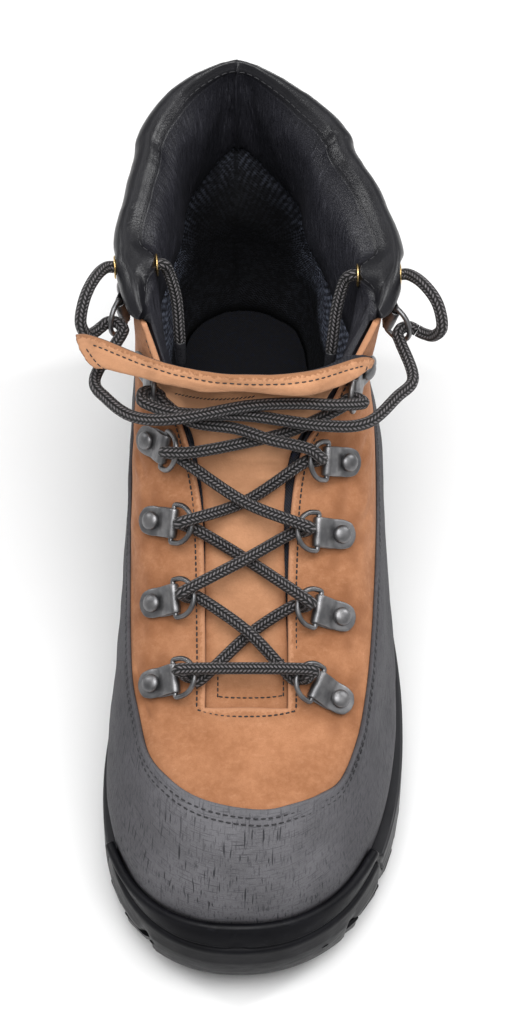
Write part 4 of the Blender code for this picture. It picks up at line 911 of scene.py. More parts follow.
def build_collar(stuff):
    """Padded roll and wrinkled inner facing, folded in a V at the back."""
    low = np.concatenate([[0.0, 0.02, 0.06, 0.12, 0.20, 0.30], np.linspace(0.40, SIDE_COLUMNS - 1.0, 120),
                          np.linspace(SIDE_COLUMNS - 0.92, SIDE_COLUMNS, 14)]) + THROAT_COLUMNS
    columns = np.concatenate([-low, low[::-1][1:]])
    roll, facing = cuff_sections(columns)
    sections = np.stack([np.concatenate([spline(a, ROLL_STEPS), spline(b, FACING_STEPS)[1:]])
                         for a, b in zip(roll, facing)])
    count, steps = sections.shape[:2]
    number = np.arange(steps)[None, :]
    down = rise(number, ROLL_STEPS - 1, FACING_STEPS * 0.62)
    n = facing_of(sections)
    relief = collar_relief(sections, columns, number, down)
    end = 1.0 - rise(np.abs(columns), THROAT_COLUMNS, 1.3)[:, None]
    shrink = 0.55 * end ** 2 * (1.0 - rise(number, ROLL_STEPS + 6.0, 10.0))
    sections = sections + n * (relief * (1.0 - end))[..., None]
    sections = sections + (roll.mean(axis=1)[:, None] - sections) * shrink[..., None]
    for side in SIDES:
        depth, away, length = from_axis(sections, side)
        aim = np.where(number < ROLL_STEPS * 0.75, 0.75, length - 0.75)
        near = (depth > -9.0) & (depth < 32.0) & (number < steps - 16)
        pull = np.where(near, gauss(np.maximum(away - 3.6, 0.0), 2.6), 0.0)
        sections = sections + eyelet_axis(side)[2] * (pull * (aim - depth))[..., None]
    middle = (sections[1:] + sections[:-1]) / 2.0
    middle = (middle + np.roll(middle, -1, 1)) / 2.0
    keep = np.ones((count - 1, steps), bool)
    for side in SIDES:
        depth, away, _ = from_axis(middle, side)
        keep &= (away > 3.0) | (depth < -6.0) | (depth > 26.0)
    up = run_length(sections, 1)
    run = run_length(sections, 0)[:, ROLL_STEPS:ROLL_STEPS + 30].mean(axis=1)[:, None]
    inner = np.broadcast_to(np.where(number < ROLL_STEPS, 0.0, 0.3 + down), up.shape)
    body = make("padded_collar", sections, grid_faces(count, steps, True, keep) + caps(count, steps), stuff,
                np.stack([np.broadcast_to(run, up.shape), up], 2), {"inner": inner}, ends="bridge")
    return body, sections, n


# ---------------------------------------------------------------- tongue and gussets
# Tongue under the lace: level, half width in, half width out, offset at the middle and sides.
TONGUE_LOW = ((0.475, 15.0, 15.0, -3.1, -3.1), (0.500, 15.4, 15.5, -3.0, -3.1),
              (0.535, 15.6, 15.7, -2.4, -2.8), (0.57, 15.6, 15.5, -1.2, -2.6),
              (0.62, 15.7, 14.5, -0.9, -2.5), (0.67, 16.0, 14.1, -0.9, -2.5),
              (0.72, 16.9, 13.9, -0.9, -2.5), (0.77, 19.8, 15.2, -0.9, -2.6),
              (0.81, 24.0, 20.0, -0.9, -3.2))
TONGUE_THICK = 3.2
# Free tongue and its folded wing: centre x, y, z, half widths, sweep back of each side and
# the power of the outer one, drop of the ends, thickness.
TONGUE_HIGH = ((4.2, -110.5, 141.5, 28.0, 26.5, 9.5, 9.0, 2.0, 2.0, 4.2),
               (4.4, -108.6, 150.0, 34.0, 30.0, 13.0, 11.0, 2.0, 3.0, 4.2),
               (4.5, -106.8, 157.0, 43.0, 37.0, 15.0, 14.0, 2.0, 3.5, 4.2),
               (4.6, -108.5, 161.0, 49.5, 41.0, 14.0, 15.0, 3.0, 5.0, 4.6),
               (4.7, -113.4, 165.2, 55.5, 43.5, 15.5, 18.0, 3.6, 6.5, 4.8),
               (4.75, -114.4, 169.3, 60.5, 44.5, 23.0, 20.0, 3.0, 8.0, 4.2),
               (4.8, -112.5, 173.4, 62.6, 45.0, 27.0, 19.5, 2.2, 9.0, 3.6))


def tongue_lines(a):
    """Front face rows of the tongue at positions -1 to 1 across, and its thickness by row."""
    lines = [skin(np.full(len(a), level), a * np.where(a < 0, half_in, half_out), mid + (edge - mid) * a ** 4)
             for level, half_in, half_out, mid, edge in TONGUE_LOW]
    for x, y, z, half_in, half_out, back_in, back_out, power, drop, _ in TONGUE_HIGH:
        back = np.where(a < 0, back_in * a * a, back_out * np.abs(a) ** power)
        fall = drop * np.where(a < 0, 0.45, 1.0) * a * a + 6.5 * rise(z, 160.0, 13.0) * a ** 12
        lines.append(np.stack([x + a * np.where(a < 0, half_in, half_out), y + back, z - fall], 1))
    return np.array(lines), np.array([TONGUE_THICK] * len(TONGUE_LOW) + [row[-1] for row in TONGUE_HIGH])


def smooth_rows(lines, rows):
    """Catmull-Rom reading of stacked rows at fractional row numbers."""
    last = len(lines) - 1
    i = np.clip(rows.astype(int), 0, last - 1)
    return catmull(lines[np.maximum(i - 1, 0)], lines[i], lines[i + 1], lines[np.minimum(i + 2, last)],
                   (rows - i)[:, None, None])


class Tongue:
    """Dense front face of the tongue with its ripples, outward directions and edge distances."""

    def __init__(self):
        tips = np.array([0.94, 0.965, 0.985, 0.995, 1.0])
        self.a = np.concatenate([-tips[::-1], np.linspace(-0.9, 0.9, 61), tips])
        lines, thick = tongue_lines(self.a)
        last = len(lines) - 1
        self.rows = rows = np.concatenate([np.linspace(0.0, last - 0.4, 138),
                                           last - np.array([0.26, 0.16, 0.09, 0.04, 0.015, 0.0])])
        self.front = front = smooth_rows(lines, rows)
        self.thick = smooth_rows(thick[:, None, None], rows)[..., 0]
        self.n = -facing_of(front)
        self.run, self.up = run_length(front, 1), run_length(front, 0)
        self.sides = np.minimum(self.run, self.run[:, -1:] - self.run)
        self.edge = edge = np.minimum(self.sides, self.up[-1:] - self.up)
        self.wing = wing = rise(rows, 11.6, 1.2)[:, None]
        relief = 0.22 * ripple(front, 24.0, 41) + 0.08 * ripple(front, 7.0, 43)
        relief += wing * (0.7 * ripple(front, 42.0, 47) - 0.30 * gauss(edge - 3.0, 0.6))
        relief += 0.25 * wing * gauss(edge, 1.4) * ripple(front, 2.6, 51) - round_drop(edge, 1.1)
        self.face = front + self.n * np.minimum(relief, 0.9)[..., None]

    def at(self, across, row):
        """Points of the face and its directions at places across and rows up."""
        found = []
        for data in (self.face, self.n):
            up = np.array([at_arc(row, self.rows, data[:, c]) for c in range(len(self.a))])
            found.append(np.array([at_arc(s, self.a, up[:, i]) for i, s in enumerate(across)]))
        return found


def build_tongue(tongue, stuff):
    rows, front, edge = tongue.rows[:, None], tongue.front, tongue.edge
    # painted light: the tongue is painted lighter from its middle rows up, most just below the wing where the wing's
    # shadow falls
    painted_light = np.interp(rows, (0.4, 2.5, 6.0, 7.4, 8.4, 11.2, 12.0), (0.0, 0.62, 0.90, 1.0, 1.7, 1.7, 1.0))
    low = 1.0 - rise(rows, 8.0, 2.0)
    # painted shade: darker near the tongue's sides and bottom, where it runs under the leather and the laces
    tone = low * (0.55 * gauss(tongue.sides, 3.0) + 0.45 * (1.0 - rise(tongue.up, 4.0, 20.0)))
    # painted shade just under the wing's crest, less the painted light
    tone += (1.0 - tongue.wing) * rise(rows, 10.6, 1.0) * 0.35 - painted_light
    depth = tongue.thick - round_drop(edge, 1.6) * 1.2 + 0.3 * ripple(front, 20.0, 49)
    return make_shell("padded_tongue", tongue.face, front - tongue.n * depth[..., None], stuff,
                      np.stack([tongue.run, tongue.up], 2),
                      {"edge": np.where(tongue.wing > 0.02, edge, 9.0), "tone": tone}, wrap=False)


def build_gusset(side, name, stuff):
    """Folded cloth between the tongue and the leather."""
    level = np.linspace(0.525, 0.79, 70)[:, None]
    near = smooth(TONGUE_LOW, level, 1 if side == MEDIAL else 2) - 0.4
    u = np.linspace(0.0, 1.0, 15)[None, ::side]
    arc = side * (near + (throat_arc(level, side) + 6.0 - near) * u)
    level = np.broadcast_to(level, arc.shape)
    fold = 0.9 * hump(u * 1.5) ** 2 - 0.8 * u + 0.25 * np.sin(level * 90.0 + 5.0 * u)
    outer, inner = (skin(level, arc, fold - WALL - SEAT - depth) for depth in (0.3, 1.6))
    return make_shell(name, outer, inner, stuff, np.stack([arc, level * SHAFT_RISE], 2), wrap=False)


# ---------------------------------------------------------------- sole unit
# Heights of the ground side of the lugs and of the sole's base, by y.
TREAD = ((-263.0, 15.0), (-240.0, 8.5), (-215.0, 2.6), (-195.0, 0.0), (-90.0, 0.0), (24.0, 0.0), (42.0, 4.0))
BASE = ((-263.0, 19.5), (-240.0, 13.5), (-215.0, 8.2), (-195.0, 5.8), (-110.0, 6.0), (-84.0, 9.5),
        (-66.0, 12.0), (-52.0, 11.0), (-46.0, 7.4), (20.0, 7.2), (42.0, 9.4))
OUTSOLE_THICK = 5.0
BUMPER_END = {MEDIAL: 0.175, LATERAL: 0.170}
BUMPER_TOP = ((0.0, 6.0), (0.7, 5.2), (1.0, 7.2))
LIP, LIP_RISE = 2.6, 2.2
# Lugs: cells across, least area, corner radius, bow of the cross lines, and the bare waist's ends in y.
LUG_CELLS = (0.0, 0.25, 0.42, 0.58, 0.75, 1.0)
LUG_LEAST, LUG_ROUND, LUG_BOW, WAIST = 90.0, 3.4, 4.0, (-84.0, -50.0)
# Gap between cross lines on both sides of the bumper's end.
LUG_STEP = 1.1
# Rings of a lug from its root to its top: inset, share of the drop to the ground, how far it is sunk.
LUG_RINGS = ((0.9, 0.0, 0.4), (1.5, 0.1, 0.0), (1.9, 0.55, 0.0), (2.2, 0.92, 0.0), (2.6, 0.99, 0.0), (3.3, 1.0, 0.0))
GAP = SEAT + RAND_THICK + SEAT + 0.1
# Notches in the sole's edge: signed share, half width in millimetres, depth.
EDGE_NOTCHES = ((-0.088, 1.6, 2.4), (-0.24, 1.6, 1.6), (0.112, 1.6, 2.2), (0.172, 1.5, 1.8))
# Block under the toe: its ends as signed shares, and its depth.
TOE_BLOCK, TOE_BLOCK_DEPTH = (-0.080, 0.104), 6.6
# Share of the bumper's height where its step is.
BUMPER_STEP = 0.52
# Rounded top of the bumper: step out from the rand, height.
BUMPER_CREST = ((3.5, -1.9), (3.1, -0.9), (2.4, -0.25), (1.4, 0.0), (0.5, -0.15), (0.0, -0.7))
# Lip behind the bumper: inset, height.
LIP_ROWS = ((0.2, 0.1), (0.2, 0.4), (0.25, 0.7), (0.35, 0.9), (0.45, 1.1), (0.5, 1.3), (0.6, 1.5),
            (0.8, LIP_RISE - 0.5), (1.0, LIP_RISE - 0.25), (1.3, LIP_RISE - 0.05), (1.8, LIP_RISE),
            (2.3, LIP_RISE - 0.1), (LIP, LIP_RISE - 0.5), (LIP + 0.6, 0.2))
# Outside of the midsole: share of its height, inset.
MIDSOLE = ((0.0, 0.3), (0.07, 0.05), (0.20, 0.4), (0.30, 0.75), (0.38, 0.75), (0.50, 0.55), (0.80, 0.15),
           (0.93, 0.2), (0.985, 0.6), (1.0, 1.3))
# Footbed rings from under its rim to its middle: share of the way out from the spine, height.
FOOTBED = ((0.97, 0.3), (1.0, 0.6), (1.0, 3.4), (0.995, 4.1), (0.975, 4.4), (0.94, 4.2), (0.88, 3.6),
           (0.78, 3.0), (0.6, 2.8), (0.4, 2.7), (0.2, 2.7), (0.02, 2.7))
# Middle line of the footbed: x and the ends in y; gap between its rim and the lining's wall.
SPINE_X, SPINE_ENDS, FOOTBED_GAP = 3.0, (-222.0, 8.0), 1.3


class Outline:
    """Outline of the sole, read at signed shares of the feather line."""

    def __init__(self):
        one = np.concatenate([np.linspace(0.0, 0.16, 44), np.linspace(0.163, 0.20, 24),
                              np.linspace(0.206, 1.0, 150)])
        self.signed = np.concatenate([-one[::-1][1:], one[1:]])
        self.half = half_length(0.0, side_of(self.signed))
        end = np.where(self.signed < 0, BUMPER_END[MEDIAL], BUMPER_END[LATERAL])
        self.along = np.clip(np.abs(self.signed) / end, 0.0, 1.0)
        self.past = (np.abs(self.signed) - end) * self.half
        self.lines = {side: self.line(side) for side in SIDES}
        self.rim = self.plan(0.0)
        self.base = smooth(BASE, self.rim[:, 1])
        self.deck = self.base + OUTSOLE_THICK

    @staticmethod
    def line(side):
        """Points of one side, their lengths, and the lengths that stand beside even shares."""
        line = np.stack(plan_side(dict(zip(RING_COLUMNS, SOLE_OUTLINE)), side, 900), 1)
        arc = arc_of(line)
        even = np.linspace(0.0, arc[-1], 4000)
        line = at_arc(even, arc, line)
        shares = np.linspace(0.0, 1.0, 401)
        foot = foot_line(side * shares)[0][:, None, :2]
        at = np.maximum.accumulate(even[np.argmin(((line - foot) ** 2).sum(axis=2), axis=1)])
        at[0], at[-1] = 0.0, even[-1]
        at = np.convolve(np.pad(at, 3, mode="reflect", reflect_type="odd"), np.ones(7) / 7.0, "valid")
        return line, even, shares, at

    def side_point(self, side, share, inset):
        """Plan points at shares of one side, moved inwards."""
        line, even, shares, at = self.lines[side]
        at = np.interp(share, shares, at)
        low, high = np.maximum(at - 1.5, 0.0), np.minimum(at + 1.5, even[-1])
        ahead = unit(at_arc(high, even, line) - at_arc(low, even, line))
        ahead = np.where((share <= 0.0)[:, None], (side, 0.0), np.where((share >= 1.0)[:, None], (-side, 0.0), ahead))
        return at_arc(at, even, line) + ahead[:, ::-1] * (-side, side) * np.reshape(inset, (-1, 1))

    def plan(self, inset):
        """Plan points all round for an inset each."""
        left, right = (self.side_point(side, np.abs(self.signed), inset) for side in SIDES)
        return np.where((self.signed < 0)[:, None], left, right)

    def row(self, inset, z):
        return lifted(self.plan(inset), z)

    def pairs(self):
        """Numbers of points that face each other across the sole, toe to heel."""
        front, count = int(np.argmin(np.abs(self.signed))), len(self.signed)
        return [((front - i) % count, (front + i) % count) for i in range(1, count // 2)]


def rand_face(signed, z):
    """Plan points just clear of the rand at heights z."""
    low, high = np.zeros(len(signed)), np.full(len(signed), 0.2)
    for _ in range(18):
        level = (low + high) / 2.0
        p = read(LAST[0][0], level, signed) + read(LAST[0][2], level, signed) * GAP
        under = p[:, 2] < z
        low, high = np.where(under, level, low), np.where(under, high, level)
    return p[:, :2]


def build_outsole(stuff, sole):
    """Wall, lip and toe bumper with a stepped face, deck, base and bevelled lugs."""
    signed, base, deck, row = sole.signed, sole.base, sole.deck, sole.row
    top = foot_line(signed)[0][:, 2] + smooth(BUMPER_TOP, sole.along)
    face = rand_face(signed, top)
    out = unit(sole.rim - face)
    notch = sum(depth * gauss((signed - at) * sole.half, width) for at, width, depth in EDGE_NOTCHES)
    vee = gauss(signed * sole.half, 2.2)
    middle = deck + 1.0 + (top - deck - 1.0) * BUMPER_STEP
    toe = ease(rise(np.minimum(signed - TOE_BLOCK[0], TOE_BLOCK[1] - signed) * sole.half, 0.0, 1.6))
    block = base - TOE_BLOCK_DEPTH * toe
    low = [row(6.0 + 9.0 * toe, base), row(5.2 + 8.6 * toe, base - 4.6 * toe), row(4.6 + 7.6 * toe, block),
           row(2.4 + notch, block), row(1.2 + notch, block + 0.25), row(0.55 + notch, block + 0.9),
           row(0.25 + 0.9 * notch, block + 1.8), row(0.10 + 0.8 * notch, base + 1.9 - 1.6 * toe),
           row(0.6 * notch, base + 3.2), row(0.1 + 0.3 * notch, deck - 0.6)]
    bumper = [row(0.35, deck + 0.3), row(0.6, middle - 2.2), row(0.9, middle - 1.0),
              row(1.7 + vee, middle - 0.35), row(2.7 + vee, middle), row(2.2 + 0.6 * vee, middle + 0.55),
              row(2.0, middle + 1.3)] + [lifted(face + out * step, top + up) for step, up in BUMPER_CREST]
    bumper.append(lifted(rand_face(signed, deck + 1.2), deck + 1.2))
    blend = ease(rise(sole.past, 0.0, 2.6))[:, None]
    high = [b * (1.0 - blend) + row(inset, deck + up) * blend for b, (inset, up) in zip(bumper, LIP_ROWS)]
    rings = np.array(low + high + [row(9.0, deck - 0.4)])
    rows, count = rings.shape[:2]
    points, faces = list(rings.reshape(-1, 3)), grid_faces(rows, count, True)
    for number, up in ((0, 0.0), (rows - 1, OUTSOLE_THICK - 0.4)):
        lines = []
        for a, b in sole.pairs():
            ids = [number * count + a]
            for t in (0.25, 0.5, 0.75):
                x, y, _ = rings[number][a] + (rings[number][b] - rings[number][a]) * t
                ids.append(len(points))
                points.append(np.array([x, y, float(smooth(BASE, y)) + up]))
            lines.append(ids + [number * count + b])
        for one, two in zip(lines, lines[1:]):
            across = [(one[k], two[k], two[k + 1], one[k + 1]) for k in range(4)]
            faces += across if number else [face[::-1] for face in across]
    build_lugs(points, faces, sole)
    return make("rubber_outsole", points, faces, stuff, ends="fill")


def lug_line(side, sole):
    """Ends of the tread's cross lines, front to back, with two close ones at the bumper's end."""
    total = float(half_length(0.0, side))
    numbers = np.arange(BACK_COLUMN + 1) * float(side)
    shares = np.abs(column_arc(np.zeros(len(numbers)), numbers)) / total
    nearest = int(np.argmin(np.abs(shares - BUMPER_END[side])))
    close = shares[nearest] + LUG_STEP / total * np.array([1.0, 2.0])
    return sole.side_point(side, np.insert(shares, nearest + 1, close), -1.0)


def build_lugs(points, faces, sole):
    left, right = (lug_line(side, sole) for side in SIDES)

    def corner(row, t):
        bow = LUG_BOW * min(1.0, max(-0.5, (row - 3) / 2.0))
        return left[row] + (right[row] - left[row]) * t + np.array([0.0, -bow * math.sin(math.pi * t)])

    for r in range(2, BACK_COLUMN + 1):
        if abs(left[r + 1][1] - left[r][1]) < 2.0 and abs(right[r + 1][1] - right[r][1]) < 2.0:
            continue
        for c, (t0, t1) in enumerate(zip(LUG_CELLS, LUG_CELLS[1:])):
            corners = np.array([corner(r, t0), corner(r, t1), corner(r + 1, t1), corner(r + 1, t0)])
            centre = corners.mean(axis=0)
            d1, d2 = corners[2] - corners[0], corners[3] - corners[1]
            small = abs(d1[0] * d2[1] - d1[1] * d2[0]) / 2.0 < LUG_LEAST
            waist = WAIST[0] < centre[1] < WAIST[1]
            gap = c in (1, 2, 3) and (r + c) % 2 and abs(centre[1]) > 12.0
            if not (small or waist or gap):
                add_lug(points, faces, corners, centre)


def add_lug(points, faces, corners, centre):
    """One bevelled block with rounded corners."""
    outline = []
    for here, before, after in zip(corners, np.roll(corners, 1, 0), np.roll(corners, -1, 0)):
        one, two = unit(before - here), unit(after - here)
        outline += [here + LUG_ROUND * ((1.0 - t) ** 2 * one + t ** 2 * two) for t in np.linspace(0.0, 1.0, 6)]
    outline = np.array(outline)
    first, count = len(points), len(outline)
    for inset, drop, sunk in LUG_RINGS:
        plan = outline + unit(centre - outline) * inset
        ground, roof = smooth(TREAD, plan[:, 1]), smooth(BASE, plan[:, 1])
        points += list(lifted(plan, roof + sunk + (ground - roof) * drop))
    last = first + (len(LUG_RINGS) - 1) * count
    for a in range(first, last, count):
        faces += strip(a, a + count, count)
    faces.append(tuple(range(last, last + count)))


def build_midsole(stuff, sole):
    """Smooth black wedge between the outsole's lip and the upper, closed across the middle."""
    foot, out = foot_line(sole.signed)
    blend = rise(sole.past, 1.0, 2.0)[:, None]
    ledge = foot[:, 2] - SEAT
    foot = foot + out * (GAP - 0.45)

    def row(z, inset, near):
        tucked = lifted((foot - out * inset * 0.25)[:, :2], near)
        return sole.row(inset, z) * blend + tucked * (1.0 - blend)

    bottom, low = sole.deck + SEAT, sole.deck + LIP_RISE + SEAT
    inner = LIP + 0.6 + SEAT + 0.15
    rings = [row(bottom, inner + 2.0, bottom), row(bottom, inner + 0.1, bottom), row(low, inner, low)]
    rings += [row(low + (ledge - low) * t, back, low + (ledge - low) * (0.1 + 0.9 * t)) for t, back in MIDSOLE]
    rings = np.array(rings + [row(ledge, 6.0, ledge)])
    rows, count = rings.shape[:2]
    faces, pairs = grid_faces(rows, count, True), sole.pairs()
    for at in (0, (rows - 1) * count):
        across = [(at + a, at + c, at + d, at + b) for (a, b), (c, d) in zip(pairs, pairs[1:])]
        faces += across if at else [face[::-1] for face in across]
    return make("midsole_foam", rings, faces, stuff, ends="fill")


def build_insole(stuff):
    """Footbed with a soft cupped rim and a dished heel."""
    foot, out = foot_line(np.linspace(-1.0, 1.0, 241)[:-1])
    rim = (foot - out * (WALL + SEAT + FOOTBED_GAP))[:, :2]
    spine = np.stack([np.full(len(rim), SPINE_X), np.clip(rim[:, 1], *SPINE_ENDS)], 1)
    plans = [spine + (rim - spine) * share for share, _ in FOOTBED]
    rings = np.array([lifted(plan, smooth(FEATHER, plan[:, 1]) + up) for plan, (_, up) in zip(plans, FOOTBED)])
    rows, count = rings.shape[:2]
    return make("footbed", rings, grid_faces(rows, count, True) + caps(rows, count)[:1], stuff, rings[..., :2],
                ends="fill")


# ---------------------------------------------------------------- stitches
# Rings of one stitch: place along it, width; rise of its middle and of its ends, as shares of its radius.
STITCH_RINGS = ((-0.5, 0.45), (-0.38, 0.85), (-0.15, 1.0), (0.15, 1.0), (0.38, 0.85), (0.5, 0.45))
STITCH_RISE, STITCH_END, STITCH_SUNK = 0.65, -0.7, 0.25
STITCH_SIDES = 6
# Seams of the tongue: span across, span of rows, readings, then pitch, length, radius and lean.
# They are the box at the bottom, the slanted zigzag and the turned ends of the wing.
BOX_STITCH, WING_STITCH = (2.1, 1.6, 0.27), (2.5, 1.8, 0.25)
TONGUE_SEAMS = (
    ((-0.66, -0.66), (1.75, 2.9), 24, BOX_STITCH), ((0.86, 0.86), (1.75, 2.9), 24, BOX_STITCH),
    ((-0.66, 0.86), (1.80, 1.80), 40, BOX_STITCH), ((-0.80, 0.06), (9.9, 10.7), 50, (1.5, 1.7, 0.22, 0.5)),
    ((-0.9494, -0.9118), (14.2, 12.9), 20, WING_STITCH), ((0.9393, 0.9021), (14.2, 12.6), 20, WING_STITCH))


def stitch_row(line, facing, pitch, length, radius, lean=0.0):
    """Points of capsule stitches laid end to end along a line on a surface."""
    arc = arc_of(line)
    number = max(1, int(round(arc[-1] / pitch)))
    angle = np.arange(STITCH_SIDES)[:, None] * CIRCLE / STITCH_SIDES
    points = []
    for s in (np.arange(number) + 0.5) * arc[-1] / number:
        a, b = at_arc(s - length / 2.0, arc, line), at_arc(s + length / 2.0, arc, line)
        n, size, d = unit(at_arc(s, arc, facing)), np.linalg.norm(b - a), unit(b - a)
        d = d * math.cos(lean) + np.cross(n, d) * math.sin(lean)
        spokes = np.cos(angle) * np.cross(n, d) + np.sin(angle) * n
        for t, width in STITCH_RINGS:
            bow = STITCH_RISE * math.sqrt(1.0 - 4.0 * t * t) if abs(t) < 0.5 else STITCH_END
            points += list((a + b) / 2.0 + d * (t * size) + (n * (bow - STITCH_SUNK) + spokes * width) * radius)
    return points


def build_stitches(name, points, stuff):
    rings = len(STITCH_RINGS)
    one = grid_faces(rings, STITCH_SIDES, True) + caps(rings, STITCH_SIDES)
    faces = [tuple(first + v for v in face) for first in range(0, len(points), rings * STITCH_SIDES) for face in one]
    return make(name, points, faces, stuff)


def throat_seam():
    """Rectangle of stitches round the throat, a little outside its edge."""
    levels, base = np.linspace(THROAT_LEVEL - 0.0085, 0.93, 160), np.full(40, THROAT_LEVEL - 0.0105)
    lines = [(levels, side * (throat_arc(levels, side) + 3.1)) for side in SIDES]
    lines.append((base, np.linspace(-17.9, 18.2, len(base))))
    return sum((stitch_row(skin(level, arc, -0.15), normal(level, arc), 2.1, 1.6, 0.30) for level, arc in lines), [])


def rand_seams():
    """Two rows of stitches along the rand's upper border."""
    half = np.linspace(0.0, BACK_COLUMN, 400)
    columns = np.concatenate([-half[::-1], half[1:]])
    points = []
    for step in (4.0, 7.0):
        level = border_level(columns) - step / VAMP_RISE / 0.9
        arc = column_arc(level, columns)
        face = skin(level, arc, SEAT + rand_thick(columns) - 0.12)
        points += stitch_row(face, normal(level, arc), 2.7, 1.9, 0.30)
    return points


def collar_seam(sections, n):
    """Line of stitches on top of the padded roll, where the facing joins it."""
    return stitch_row(sections[6:-6, ROLL_STEPS - 1], n[6:-6, ROLL_STEPS - 1], 3.0, 2.2, 0.26)


def tongue_seams(tongue):
    rows = [stitch_row(*tongue.at(np.linspace(*across, count), np.linspace(*up, count)), *stitch)
            for across, up, count, stitch in TONGUE_SEAMS]
    top = tongue.up[-1] - 3.0
    wing = (np.array([at_arc(top[c], tongue.up[:, c], data[:, c]) for c in range(5, len(tongue.a) - 5)])
            for data in (tongue.face, tongue.n))
    rows.insert(4, stitch_row(*wing, *WING_STITCH))
    return sum(rows, [])


# ---------------------------------------------------------------- materials
# Pitches in millimetres: woven cloth, twist of the knit, its rows and their zigzag, strands of the braid.
WEAVE, TWIST, KNIT_ROW, KNIT_SWING, STRAND = 0.9, 0.7, 1.8, 1.5, 1.45
# Slant of the braid's strands.
STRAND_SLANT = 0.95


class Nodes:
    """Short writing of one material's node tree; its colour is laid on in layers."""

    def __init__(self, name, **fixed):
        self.stuff = bpy.data.materials.new(name)
        self.stuff.use_nodes = True
        self.tree = self.stuff.node_tree
        self.shader = self.tree.nodes["Principled BSDF"]
        for key, value in fixed.items():
            self.shader.inputs[key.replace("_", " ")].default_value = value
        where = self.tree.nodes.new("ShaderNodeTexCoord").outputs
        self.object, self.uv = where["Object"], where["UV"]

    def join(self, source, target):
        if isinstance(source, (int, float)):
            target.default_value = source
        elif isinstance(source, tuple):
            target.default_value = source if len(source) == len(target.default_value) else source + (1.0,)
        else:
            self.tree.links.new(source, target)

    def node(self, kind, inputs, **settings):
        node = self.tree.nodes.new("ShaderNode" + kind)
        for key, value in settings.items():
            setattr(node, key, value)
        for key, value in inputs.items():
            self.join(value, node.inputs[key])
        return node

    def attribute(self, name):
        return self.node("Attribute", {}, attribute_name=name).outputs["Fac"]

    def noise(self, scale, detail=3.0, rough=0.55, where=None, turn=0.0):
        """Noise at a scale in features per metre; a scale for each axis stretches it."""
        where = where or self.object
        if isinstance(scale, tuple):
            inputs = {"Vector": where, "Scale": scale, "Rotation": (0.0, 0.0, turn)}
            where, scale = self.node("Mapping", inputs).outputs["Vector"], 1.0
        inputs = {"Vector": where, "Scale": scale, "Detail": detail, "Roughness": rough}
        return self.node("TexNoise", inputs).outputs["Fac"]

    def cells(self, scale, feature):
        inputs = {"Vector": self.object, "Scale": scale}
        return self.node("TexVoronoi", inputs, feature=feature).outputs["Distance"]

    def math(self, kind, a, b=0.0):
        return self.node("Math", {0: a, 1: b}, operation=kind).outputs[0]

    def times(self, a, b):
        return self.math("MULTIPLY", a, b)

    def wave(self, value, halves):
        """Sine with a number of half waves to each unit of a value."""
        return self.math("SINE", self.times(value, math.pi * halves))

    def between(self, value, low, high, out_low=0.0, out_high=1.0):
        """Smooth step of a value from one range to another."""
        inputs = {"Value": value, "From Min": low, "From Max": high, "To Min": out_low, "To Max": out_high}
        return self.node("MapRange", inputs, interpolation_type="SMOOTHSTEP").outputs["Result"]

    def mix(self, factor, a, b):
        self.colour = self.node("Mix", {"Factor": factor, 6: a, 7: b}, data_type="RGBA").outputs[2]

    def over(self, factor, tone):
        """Lay a tone over the colour so far."""
        self.mix(factor, self.colour, tone)

    def ramp(self, value, *stops):
        node = self.node("ValToRGB", {"Fac": value})
        while len(node.color_ramp.elements) < len(stops):
            node.color_ramp.elements.new(0.5)
        for element, (at, colour) in zip(node.color_ramp.elements, stops):
            element.position, element.color = at, colour + (1.0,)
        self.colour = node.outputs["Color"]

    def split_uv(self):
        return self.node("SeparateXYZ", {0: self.uv}).outputs[:2]

    def bump(self, height, strength, distance):
        """Add one layer of bump; distance in millimetres."""
        node = self.node("Bump", {"Strength": strength, "Distance": distance * MM, "Height": height})
        socket = self.shader.inputs["Normal"]
        if socket.links:
            self.join(socket.links[0].from_socket, node.inputs["Normal"])
        self.join(node.outputs["Normal"], socket)

    def finish(self, roughness):
        self.join(self.colour, self.shader.inputs["Base Color"])
        self.join(roughness, self.shader.inputs["Roughness"])
        return self.stuff


